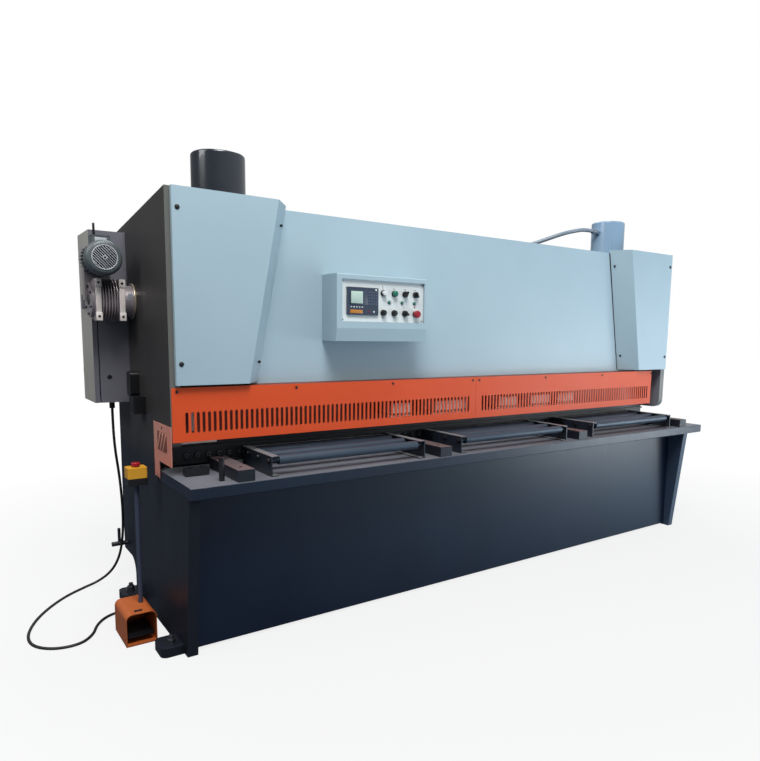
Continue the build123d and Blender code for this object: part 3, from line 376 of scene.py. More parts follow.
FINISHES = (
    Finish(Slot.DARK_FRAME, (12, 22, 40), (17, 29, 50), roughness=0.34, specular=0.42),
    Finish(Slot.LIGHT_PANEL, (161, 184, 195), (168, 190, 200), roughness=0.42),
    # Painted shade: the guard's upward faces are darker, for the shadow of the covers above them.
    Finish(Slot.GUARD_ORANGE, (222, 84, 40), (214, 78, 36), specular=0.25, top=(120, 52, 34)),
    Finish(Slot.TOOL_STEEL, (110, 112, 116), (86, 88, 94), metallic=0.9, roughness=0.35),
    Finish(Slot.ARM_STEEL, (24, 30, 40), (32, 36, 44), metallic=0.2, patch_scale=9.0, top=(114, 102, 104)),
    Finish(Slot.ROLLER_STEEL, (66, 78, 92), (50, 60, 74), metallic=0.3, roughness=0.42),
    Finish(Slot.ROD_CHROME, (196, 198, 202), (180, 184, 190), metallic=1.0, roughness=0.15),
    Finish(Slot.SWITCH_WHITE, (226, 231, 230), (218, 224, 223), roughness=0.4),
    Finish(Slot.BLACK_PLASTIC, (15, 16, 18), (20, 21, 24), roughness=0.36),
    Finish(Slot.MOTOR_GREY, (84, 92, 94), (94, 102, 104), metallic=0.1, roughness=0.4),
    # Partly painted highlight: the alloy's colour is raised to stand for the bright highlights on the fins.
    Finish(
        Slot.GEAR_ALLOY, (150, 142, 146), (178, 168, 170), metallic=0.4, roughness=0.32, patch_scale=14.0,
    ),
    Finish(Slot.PIPE_BLACK, (34, 36, 42), (44, 48, 54), roughness=0.35),
    Finish(Slot.PEDAL_ORANGE, (190, 100, 48), (172, 86, 38)),
    Finish(Slot.STOP_YELLOW, (222, 164, 48), (214, 152, 40), roughness=0.4),
    Finish(Slot.STOP_RED, (160, 24, 38), (148, 18, 32), roughness=0.28),
    Finish(Slot.CABLE_BLACK, (24, 24, 26), (30, 30, 32), roughness=0.5),
    # Painted light on the left side plate: its large brownish patches and pale front faces are painted
    # reflections, and its darker foot below 0.86 m is painted shade.
    Finish(
        Look.SIDE_PAINT, (44, 44, 47), (68, 65, 62), Slot.DARK_FRAME, roughness=0.42, rough_spread=0.06,
        patch_scale=1.1, patch_share=0.7, front=(118, 119, 114), base=(31, 34, 43), base_height=0.86,
        base_fade=0.12, specular=0.2,
    ),
    # Painted light: the cabinet's faces that look to the left are pale, for the light falling on its left
    # side.
    Finish(
        Look.CABINET_PAINT, (94, 96, 105), (120, 118, 126), Slot.DARK_FRAME, roughness=0.34,
        rough_spread=0.06, patch_scale=2.2, patch_share=0.6, left=(186, 184, 176),
    ),
    # The frames' faces that look up are paler than their sides.
    Finish(
        Look.FRAME_WORN, (26, 32, 42), (34, 40, 50), Slot.DARK_FRAME, roughness=0.36, patch_scale=8.0,
        top=(130, 133, 136),
    ),
    Finish(
        Look.TABLE_PAINT, (13, 23, 40), (18, 30, 50), Slot.DARK_FRAME, roughness=0.36, patch_scale=3.0,
        top=(120, 122, 130),
    ),
    Finish(
        Look.FADED_GUARD, (212, 134, 116), (204, 144, 128), Slot.GUARD_ORANGE, roughness=0.5,
        patch_scale=7.0, patch_share=0.3,
    ),
    Finish(Look.WINDOW_BROWN, (130, 78, 66), (114, 68, 58), Slot.GUARD_ORANGE, roughness=0.5),
    Finish(Look.DARK_CYLINDER, (30, 34, 42), (38, 42, 50), Slot.DARK_FRAME, roughness=0.2, coat=0.5),
    Finish(Look.BLUE_CYLINDER, (134, 164, 190), (146, 174, 200), Slot.DARK_FRAME, roughness=0.3, coat=0.3),
    Finish(Look.PALE_PIPE, (128, 142, 156), (142, 154, 166), Slot.PIPE_BLACK, roughness=0.35),
    Finish(Look.BLOCK_STEEL, (28, 31, 38), (40, 40, 44), Slot.ARM_STEEL, metallic=0.3, patch_scale=12.0),
    Finish(
        Look.TWO_TONE_STOP, (222, 164, 48), (214, 152, 40), Slot.STOP_YELLOW, roughness=0.38,
        base=(26, 26, 28), base_height=0.776,
    ),
    Finish(Look.DARK_STEEL, (30, 32, 38), (44, 46, 52), Slot.TOOL_STEEL, metallic=0.5, roughness=0.4),
    Finish(
        Look.BARE_STRAP, (246, 241, 237), (226, 212, 204), Slot.GEAR_ALLOY, metallic=0.1, roughness=0.34,
        patch_scale=30.0,
    ),
    Finish(Look.BRONZE, (204, 192, 166), (184, 168, 140), Slot.GEAR_ALLOY, metallic=0.5, roughness=0.3),
    Finish(Look.PALE_PLATE, (184, 188, 192), (168, 172, 178), Slot.LIGHT_PANEL, roughness=0.4),
    Finish(Look.CAP_GREEN, (34, 116, 92), (28, 104, 82), Slot.SWITCH_WHITE, roughness=0.22),
    Finish(Look.SCREEN_PALE, (196, 216, 204), (180, 204, 192), Slot.SWITCH_WHITE, roughness=0.15),
    Finish(Look.SCREEN_AMBER, (206, 138, 58), (184, 116, 44), Slot.SWITCH_WHITE, roughness=0.3),
    Finish(Look.KEY_BLUE, (66, 78, 100), (76, 88, 110), Slot.BLACK_PLASTIC),
    Finish(Look.PRINT_DARK, (120, 130, 136), (104, 114, 122), Slot.BLACK_PLASTIC, roughness=0.5),
    Finish(Look.CONTROLLER_FACE, (46, 56, 74), (56, 66, 84), Slot.BLACK_PLASTIC, roughness=0.35),
    Finish(Look.POLE_PAINT, (58, 64, 84), (68, 74, 94), Slot.DARK_FRAME, roughness=0.4),
    # Painted light: near-white blocks and a strip that stand for light seen through the guard slots and on
    # the lip below the left guard.
    Finish(Look.LIT_BLOCK, (255, 242, 234), (250, 222, 210), Slot.LIGHT_PANEL, patch_scale=9.0),
    # Painted reflection: the hold-down beam's front faces above 0.945 m are reddish, for the orange guard's
    # light on them; the rest is its dark paint.
    Finish(
        Look.BEAM_PAINT, (18, 22, 30), (24, 28, 36), Slot.DARK_FRAME, patch_scale=3.0, front=(186, 88, 70),
        base=(18, 22, 30), base_height=0.945,
    ),
    # Painted light on the right side plate: above 0.80 m a pale grey stands for light on its inner face,
    # with paler front faces as painted sheen; below that, its dark blue-grey paint.
    Finish(
        Look.RIGHT_PAINT, (118, 123, 132), (128, 132, 138), Slot.DARK_FRAME, front=(118, 119, 114),
        patch_scale=1.1, patch_share=0.7, base=(46, 57, 74), base_height=0.80,
    ),
    Finish(Look.PRINT_BROWN, (150, 96, 66), (140, 88, 60), Slot.SWITCH_WHITE, roughness=0.5),
)

NODE_LOOKS = {
    "left_side_plate": Look.SIDE_PAINT,
    "right_side_plate": Look.RIGHT_PAINT,
    "table_plate": Look.TABLE_PAINT,
    "side_guard": Look.FADED_GUARD,
    "left_cylinder": Look.DARK_CYLINDER,
    "right_cylinder": Look.BLUE_CYLINDER,
    "side_gauge": Look.BLOCK_STEEL,
    "stop_box": Look.TWO_TONE_STOP,
    "cabinet_body": Look.CABINET_PAINT,
    "cabinet_door": Look.CABINET_PAINT,
    "support_frame_1": Look.FRAME_WORN,
    "support_frame_2": Look.FRAME_WORN,
    "support_frame_3": Look.FRAME_WORN,
    "hydraulic_pipe": Look.PALE_PIPE,
    "lower_blade": Look.DARK_STEEL,
    "hold_down_beam": Look.BEAM_PAINT,
    "gauge_controller": Look.CONTROLLER_FACE,
    "pedal_pole": Look.POLE_PAINT,
}
Materials = dict[Slot | Look, Material]


@dataclass(frozen=True)
class Lamp:
    """One soft square lamp."""

    name: str
    place: Point
    aim: Point
    size: float
    watts: float
    tint: Colour = WHITE

    def build(self) -> None:
        """Hang the lamp and turn it to the point that it faces."""
        data = bpy.data.lights.new(self.name, "AREA")
        data.size = self.size
        data.energy = self.watts
        data.color = self.tint
        lamp = bpy.data.objects.new(self.name, data)
        bpy.context.scene.collection.objects.link(lamp)
        lamp.location = self.place
        lamp.rotation_euler = (Vector(self.aim) - Vector(self.place)).to_track_quat("-Z", "Y").to_euler()


LAMPS = (
    Lamp("key_lamp", place=(-2.0, -2.8, 6.0), aim=(0.0, -0.2, 1.2), size=2.5, watts=325.0),
    Lamp("fill_lamp", place=(4.2, -3.1, 0.9), aim=(1.6, -0.5, 0.5), size=1.8, watts=76.0, tint=COOL),
    Lamp("side_lamp", place=(-5.4, 0.0, 4.2), aim=(-1.9, 0.3, 1.6), size=2.0, watts=85.0),
    Lamp("rear_lamp", place=(0.5, 3.4, 7.0), aim=(0.0, 0.2, 1.2), size=3.0, watts=120.0),
)


@dataclass
class Studio:
    """Camera, lamps, floor and backdrop around the machine."""

    eye: Point = (-2.75741, -3.27448, 1.46505)
    right: Point = (0.8162, -0.5776, 0.01315)
    up: Point = (0.0624, 0.1108, 0.9919)
    ahead: Point = (0.5744, 0.8088, -0.1264)
    lens_mm: float = 30.66
    shift_x: float = -0.0223
    shift_y: float = 0.0481
    sight: float = 100.0
    room_tint: Colour = (0.93, 0.97, 1.0)
    bright_side: Point = (0.93, -0.15, 0.33)
    side_range: Span = (-0.35, 0.95)
    room_strength: Span = (0.2, 0.6)
    floor_side: float = 80.0
    floor_roughness: float = 0.85
    left_bounce: Colour = (0.07, 0.09, 0.12)
    right_bounce: Colour = (0.56, 0.80, 1.0)
    bounce_range: Span = (-1.5, 2.6)
    shown_floor: Colour = (0.42, 0.43, 0.44)
    glow: float = 1.02
    glow_range: Span = (2.0, 5.0)
    glow_share: Span = (0.8, 1.0)

    def camera(self) -> None:
        """Place the camera where the photograph was taken from."""
        data = bpy.data.cameras.new("view")
        camera = bpy.data.objects.new("view", data)
        bpy.context.scene.collection.objects.link(camera)
        columns = Matrix((self.right, self.up, tuple(-part for part in self.ahead))).transposed()
        camera.matrix_world = Matrix.Translation(self.eye) @ columns.to_4x4()
        data.sensor_fit = "HORIZONTAL"
        data.lens = self.lens_mm
        data.shift_x = self.shift_x
        data.shift_y = self.shift_y
        data.clip_end = self.sight
        bpy.context.scene.camera = camera

    def world(self) -> None:
        """Light the room softly, more from the right than from the left, and show it white."""
        world = bpy.data.worlds.new("studio")
        bpy.context.scene.world = world
        world.use_nodes = True
        tree = world.node_tree
        tree.nodes.clear()
        paths = tree.nodes.new("ShaderNodeLightPath")
        seen = tree.nodes.new("ShaderNodeBackground")
        seen.inputs["Color"].default_value = (*WHITE, 1.0)
        fill = tree.nodes.new("ShaderNodeBackground")
        fill.inputs["Color"].default_value = (*self.room_tint, 1.0)
        coords = tree.nodes.new("ShaderNodeTexCoord")
        turn = tree.nodes.new("ShaderNodeVectorMath")
        turn.operation = "DOT_PRODUCT"
        turn.inputs[1].default_value = self.bright_side
        tree.links.new(coords.outputs["Generated"], turn.inputs[0])
        strength = stretch(tree, turn.outputs["Value"], self.side_range, self.room_strength)
        tree.links.new(strength, fill.inputs["Strength"])
        mix = tree.nodes.new("ShaderNodeMixShader")
        out = tree.nodes.new("ShaderNodeOutputWorld")
        tree.links.new(paths.outputs["Is Camera Ray"], mix.inputs["Fac"])
        tree.links.new(fill.outputs["Background"], mix.inputs[1])
        tree.links.new(seen.outputs["Background"], mix.inputs[2])
        tree.links.new(mix.outputs["Shader"], out.inputs["Surface"])

    def floor_finish(self) -> Material:
        """Make the floor's finish, which bounces little light on the left and more on the right.

        The camera sees a glow mixed into it, so that the floor looks white and keeps the shadow.

        Returns:
            The new material.
        """
        material = bpy.data.materials.new("studio_floor_finish")
        material.use_nodes = True
        tree = material.node_tree
        shader = tree.nodes["Principled BSDF"]
        shader.inputs["Roughness"].default_value = self.floor_roughness
        seen = tree.nodes.new("ShaderNodeLightPath").outputs["Is Camera Ray"]
        place = tree.nodes.new("ShaderNodeTexCoord").outputs["Object"]
        along = tree.nodes.new("ShaderNodeSeparateXYZ")
        tree.links.new(place, along.inputs["Vector"])
        across = stretch(tree, along.outputs["X"], self.bounce_range)
        bounce = blend(tree, across, self.left_bounce, self.right_bounce)
        tree.links.new(blend(tree, seen, bounce, self.shown_floor), shader.inputs["Base Color"])
        glow = tree.nodes.new("ShaderNodeEmission")
        glow.inputs["Strength"].default_value = self.glow
        reach = tree.nodes.new("ShaderNodeVectorMath")
        reach.operation = "LENGTH"
        tree.links.new(place, reach.inputs[0])
        share = tree.nodes.new("ShaderNodeMath")
        share.operation = "MULTIPLY"
        farther = stretch(tree, reach.outputs["Value"], self.glow_range, self.glow_share)
        tree.links.new(seen, share.inputs[0])
        tree.links.new(farther, share.inputs[1])
        mix = tree.nodes.new("ShaderNodeMixShader")
        tree.links.new(share.outputs["Value"], mix.inputs["Fac"])
        tree.links.new(shader.outputs["BSDF"], mix.inputs[1])
        tree.links.new(glow.outputs["Emission"], mix.inputs[2])
        tree.links.new(mix.outputs["Shader"], tree.nodes["Material Output"].inputs["Surface"])
        return material

    def floor(self) -> None:
        """Lay the pale floor under the machine."""
        bpy.ops.mesh.primitive_plane_add(size=self.floor_side, location=(0.0, 0.0, 0.0))
        floor = bpy.context.object
        floor.name = "studio_floor"
        floor.data.materials.append(self.floor_finish())

    def build(self) -> None:
        """Set up the whole studio."""
        bpy.context.scene.view_settings.view_transform = "Standard"
        self.camera()
        self.world()
        self.floor()
        for lamp in LAMPS:
            lamp.build()


@dataclass
class PieceSet:
    """A set of pieces, each joined from primitives.

    Attributes:
        materials: The finishes by slot and look.
        blanks: The primitives of the next piece.
    """

    materials: Materials
    blanks: list[bpy.types.Object] = field(default_factory=list)

    def keep(self, bevel: float = 0.0) -> None:
        """Keep the newest primitive for the next piece, its place in its mesh.

        Args:
            bevel: Width of the bevel on its sharp edges.
        """
        blank = bpy.context.object
        bpy.ops.object.transform_apply(location=True, rotation=True, scale=True)
        if bevel > 0.0:
            bpy.ops.object.modifier_add(type="BEVEL")
            modifier = blank.modifiers[-1]
            modifier.width = bevel
            modifier.segments = 2
            bpy.ops.object.modifier_apply(modifier=modifier.name)
        self.blanks.append(blank)

    def box(self, low: Point, high: Point, bevel: float = 0.0) -> None:
        """Add a block between two corners.

        Args:
            low: Lowest corner.
            high: Highest corner.
            bevel: Width of its bevel.
        """
        centre = tuple((a + b) / 2 for a, b in zip(low, high))
        size = tuple(b - a for a, b in zip(low, high))
        self.bar(centre, size, bevel=bevel)

    def bar(self, centre: Point, size: Point, turn: Point = UNTURNED, bevel: float = 0.0) -> None:
        """Add a block round its centre, turned or not.

        Args:
            centre: Its centre.
            size: Its lengths.
            turn: Its angles about X, Y and Z.
            bevel: Width of its bevel.
        """
        bpy.ops.mesh.primitive_cube_add(size=1.0, location=centre, rotation=turn, scale=size)
        self.keep(bevel)

    def round(
        self, axis: Axis, centre: Point, diameter: float, length: float, sides: int = 24, bevel: float = 0.0
    ) -> None:
        """Add a cylinder or a prism.

        Args:
            axis: Direction that it points in.
            centre: Its centre.
            diameter: Its diameter, across the corners of a prism.
            length: Its length.
            sides: Number of its sides.
            bevel: Width of its bevel.
        """
        bpy.ops.mesh.primitive_cylinder_add(
            vertices=sides, radius=diameter / 2, depth=length, location=centre, rotation=axis.value
        )
        self.keep(bevel)

    def ring(self, axis: Axis, centre: Point, diameter: float, wire: float) -> None:
        """Add a ring.

        Args:
            axis: Direction that it faces.
            centre: Its centre.
            diameter: Diameter of its middle line.
            wire: Thickness of its wire.
        """
        bpy.ops.mesh.primitive_torus_add(
            major_radius=diameter / 2,
            minor_radius=wire / 2,
            major_segments=40,
            minor_segments=10,
            location=centre,
            rotation=axis.value,
        )
        self.keep()

    def dome(self, centre: Point, size: Point) -> None:
        """Add a squashed ball.

        Args:
            centre: Its centre.
            size: Its lengths.
        """
        bpy.ops.mesh.primitive_uv_sphere_add(
            segments=24, ring_count=12, radius=0.5, location=centre, scale=size
        )
        self.keep()

    def screw(self, axis: Axis, head: Point, out: Point, diameter: float, height: float) -> None:
        """Add a screw with a round head and the rim of its socket.

        Args:
            axis: Direction of its length.
            head: Centre of the face that its head stands on.
            out: Unit direction that it faces.
            diameter: Diameter of its head.
            height: Height of its head.
        """
        middle = tuple(a + b * height / 2 for a, b in zip(head, out))
        face = tuple(a + b * height for a, b in zip(head, out))
        self.round(axis, middle, diameter, height, sides=20, bevel=diameter * HEAD_BEVEL)
        self.ring(axis, face, diameter * SOCKET_WIDTH, wire=diameter * SOCKET_RIM)

    def join(self, name: str, look: Slot | Look, body: str = ROOT) -> bpy.types.Object:
        """Join the primitives kept so far into one finished piece.

        Args:
            name: Name of the piece.
            look: Its finish.
            body: Body that it rides on.

        Returns:
            The piece.
        """
        bpy.ops.object.select_all(action="DESELECT")
        for blank in self.blanks:
            blank.select_set(True)
        bpy.context.view_layer.objects.active = self.blanks[0]
        if len(self.blanks) > 1:
            bpy.ops.object.join()
        bpy.ops.object.shade_smooth_by_angle(angle=SMOOTH_ANGLE)
        piece = bpy.context.object
        piece.name = name
        piece.data.materials.clear()
        piece.data.materials.append(self.materials[look])
        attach(piece, body)
        self.blanks = []
        return piece


@dataclass
class FootSwitchCable:
    """The cable from the cabinet to the foot switch."""

    diameter: float = 0.014
    length: float = 2.6
    route: tuple[Point, ...] = (
        (-2.0, 0.454, 1.051),
        (-2.0, 0.454, 0.95),
        (-1.988, 0.486, 0.815),
        (-1.966, 0.514, 0.67),
        (-1.952, 0.538, 0.52),
        (-1.946, 0.56, 0.385),
        (-1.95, 0.578, 0.27),
        (-1.966, 0.6, 0.165),
        (-2.004, 0.632, 0.078),
        (-2.072, 0.66, 0.022),
        (-2.16, 0.64, 0.007),
        (-2.262, 0.56, 0.007),
        (-2.36, 0.44, 0.007),
        (-2.44, 0.3, 0.007),
        (-2.49, 0.14, 0.007),
        (-2.48, 0.01, 0.007),
        (-2.4, -0.075, 0.007),
        (-2.29, -0.085, 0.007),
        (-2.222, -0.01, 0.007),
        (-2.19, 0.086, 0.007),
        (-2.14, 0.152, 0.009),
        (-2.082, 0.172, 0.015),
        (-2.028, 0.15, 0.021),
        (-2.0, 0.097, 0.024),
        (-2.0, 0.036, 0.024),
    )

    def build(self, materials: Materials) -> None:
        """Lay the cable along its route.

        Args:
            materials: The finishes by slot and look.
        """
        curve = bpy.data.curves.new("foot_switch_cable", "CURVE")
        curve.dimensions = "3D"
        spline = curve.splines.new("NURBS")
        spline.points.add(len(self.route) - 1)
        for point, place in zip(spline.points, self.route):
            point.co = (*place, 1.0)
        spline.order_u = 3
        spline.use_endpoint_u = True
        curve.bevel_depth = self.diameter / 2
        curve.bevel_resolution = 4
        curve.resolution_u = 8
        curve.use_fill_caps = True
        cable = bpy.data.objects.new("foot_switch_cable", curve)
        bpy.context.scene.collection.objects.link(cable)
        curve.materials.append(materials[Slot.CABLE_BLACK])
        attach(cable, ROOT)
        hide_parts("pedal_cable")


@dataclass
class FrontDetails(PieceSet):
    """Screws and plates on the guard, the covers, the arms and the roller frames."""

    guard_y: float = -0.328
    guard_screw_z: float = 1.195
    guard_screw_x: Row = (-1.884, -1.288, -0.694, -0.100, -0.048, 0.546, 1.141, 1.736)
    cover_y: float = -0.350
    plug_x: float = 1.866
    plug_heights: Span = (2.003, 1.320)
    seam_foot: Span = (1.288, 1.224)
    seam_head: Span = (1.450, 2.074)
    fold_screws: tuple[Point, ...] = (
        (-1.338, -0.276, 1.987),
        (-1.464, -0.280, 1.323),
        (1.322, -0.250, 1.982),
        (1.447, -0.250, 1.330),
    )
    beam_y: float = -0.167
    bolt_first_x: float = -1.80
    bolt_pitch: float = 0.0545
    bolt_count: int = 67
    bolt_z: float = 0.868
    # Spans of the painted-light blocks behind the guard slots.
    block_spans: tuple[Span, ...] = (
        (-0.681, -0.540),
        (-0.371, -0.118),
        (0.159, 0.315),
        (0.452, 0.623),
        (0.719, 0.881),
    )
    # The front, bottom, top and bevel of each part of a block.
    block_tiers: tuple[Row, ...] = ((-0.300, 1.020, 1.078, 0.003), (-0.290, 0.996, 1.010, 0.002))
    arm_x: Row = (-1.655, -0.495, 0.665, 1.825)
    arm_screw_y: Span = (-0.490, -0.265)
    arm_screw_z: float = 0.836
    frame_x: Row = (-1.072, 0.088, 1.248)
    frame_reach: float = 0.4505
    axle_y: Row = (-0.512, -0.390, -0.268)
    axle_z: float = 0.873
    gauge_screw_x: Span = (-1.826, -1.774)
    band_pitch: float = 0.043
    band_lean: float = 0.55

    def guard_screws(self) -> None:
        """Fix the finger guard along its upper edge."""
        for x in self.guard_screw_x:
            head = (x, self.guard_y, self.guard_screw_z)
            self.screw(Axis.Y, head, FORWARD, diameter=0.013, height=0.004)
        self.join("guard_screws", Look.DARK_STEEL)

    def cover_plugs(self) -> None:
        """Close the outer edges of the covers with dark round plugs."""
        for x in (-self.plug_x, self.plug_x):
            for z in self.plug_heights:
                plug = (x, self.cover_y - 0.001, z)
                self.round(Axis.Y, plug, diameter=0.022, length=0.004, sides=20, bevel=0.001)
                self.dome((x, self.cover_y - 0.003, z), size=(0.013, 0.004, 0.013))
        self.join("cover_plugs", Slot.BLACK_PLASTIC)

    def cover_gap_shade_and_screws(self) -> None:
        """Draw a dark strip as painted shadow in the gap beside the right cover, and the screws in the folds
        of both covers.
        """
        lean = -math.atan2(self.seam_head[0] - self.seam_foot[0], self.seam_head[1] - self.seam_foot[1])
        middle = (1.369, -0.2258, 1.649)
        # Painted shadow: a thin black bar along the gap between the right cover and the panel.
        self.bar(middle, size=(0.010, 0.003, 0.862), turn=(0.0, lean, 0.0), bevel=0.0005)
        for place in self.fold_screws:
            self.dome(place, size=(0.015, 0.015, 0.015))
        self.join("cover_gap_shade_and_screws", Slot.BLACK_PLASTIC)

    def beam_bolts(self) -> None:
        """Set the row of screws along the front of the hold-down beam, with grey rings on them as painted
        highlights.
        """
        places = [self.bolt_first_x + number * self.bolt_pitch for number in range(self.bolt_count)]
        for x in places:
            centre = (x, self.beam_y - 0.004, self.bolt_z)
            self.round(Axis.Y, centre, diameter=0.034, length=0.008, sides=18, bevel=0.002)
        self.join("beam_bolt_heads", Look.DARK_STEEL)
        # Painted highlight: grey rings for the light catching the edges of the bolt heads in the beam's
        # shade.
        for x in places:
            self.ring(Axis.Y, (x, self.beam_y - 0.008, self.bolt_z), diameter=0.018, wire=0.0025)
        self.join("beam_bolt_rim_highlights", Slot.MOTOR_GREY)

    def painted_light_blocks(self) -> None:
        """Put pale blocks behind the slots of the guards, and a pale strip below the left one, all as
        painted light.
        """
        for low_x, high_x in self.block_spans:
            for front_y, low_z, high_z, bevel in self.block_tiers:
                self.box((low_x, front_y, low_z), (high_x, self.beam_y, high_z), bevel)
        self.box((-1.790, self.beam_y - 0.012, 0.99), (-1.762, self.beam_y, 1.09), bevel=0.002)
        # Painted highlight: the pale strip below the left guard.
        strip = (-1.775, -0.172, 0.932)
        self.bar(strip, size=(0.250, 0.010, 0.011), bevel=0.002)
        self.join("painted_light_blocks", Look.LIT_BLOCK)

    def arm_screws(self) -> None:
        """Sink two socket screws into each table arm."""
        for x in self.arm_x:
            for y in self.arm_screw_y:
                self.screw(Axis.Z, (x, y, self.arm_screw_z), UPWARD, diameter=0.0165, height=0.014)
        self.join("arm_screws", Look.DARK_STEEL)

    def axle_nuts(self) -> None:
        """Close each roller axle with a washer and a nut outside its frame."""
        for middle in self.frame_x:
            for side in (-1.0, 1.0):
                for y in self.axle_y:
                    x = middle + side * self.frame_reach
                    self.round(Axis.X, (x + side * 0.001, y, self.axle_z), diameter=0.030, length=0.002)
                    nut = (x + side * 0.006, y, self.axle_z)
                    self.round(Axis.X, nut, diameter=0.024, length=0.008, sides=6, bevel=0.001)
        self.join("axle_nuts", Look.DARK_STEEL)

    def gauge_details(self) -> None:
        """Add the knob and the screws of the side gauge."""
        knob = (-1.743, -0.490, 0.903)
        self.round(Axis.Z, knob, diameter=0.034, length=0.010, sides=6, bevel=0.002)
        for x in self.gauge_screw_x:
            self.screw(Axis.Z, (x, -0.310, 0.834), UPWARD, diameter=0.016, height=0.007)
        self.join("gauge_screws", Look.DARK_STEEL)

    def guard_window(self) -> None:
        """Close the window of the side guard with brown mesh under slanted bands."""
        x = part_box("side_guard")[0][0]
        self.box((x - 0.0015, -0.258, 0.905), (x, -0.112, 0.996), bevel=0.0005)
        self.round(Axis.X, (x - 0.001, -0.186, 1.017), diameter=0.012, length=0.002, sides=16)
        self.join("guard_window", Look.WINDOW_BROWN)
        for number in range(3):
            centre = (x - 0.0025, -0.228 + number * self.band_pitch, 0.950)
            self.bar(centre, size=(0.002, 0.014, 0.098), turn=(self.band_lean, 0.0, 0.0), bevel=0.0005)
        self.join("guard_window_bands", Look.FADED_GUARD)

    def build(self) -> None:
        """Build every front detail."""
        self.guard_screws()
        self.cover_plugs()
        self.cover_gap_shade_and_screws()
        self.beam_bolts()
        self.painted_light_blocks()
        self.arm_screws()
        self.axle_nuts()
        self.gauge_details()
        self.guard_window()


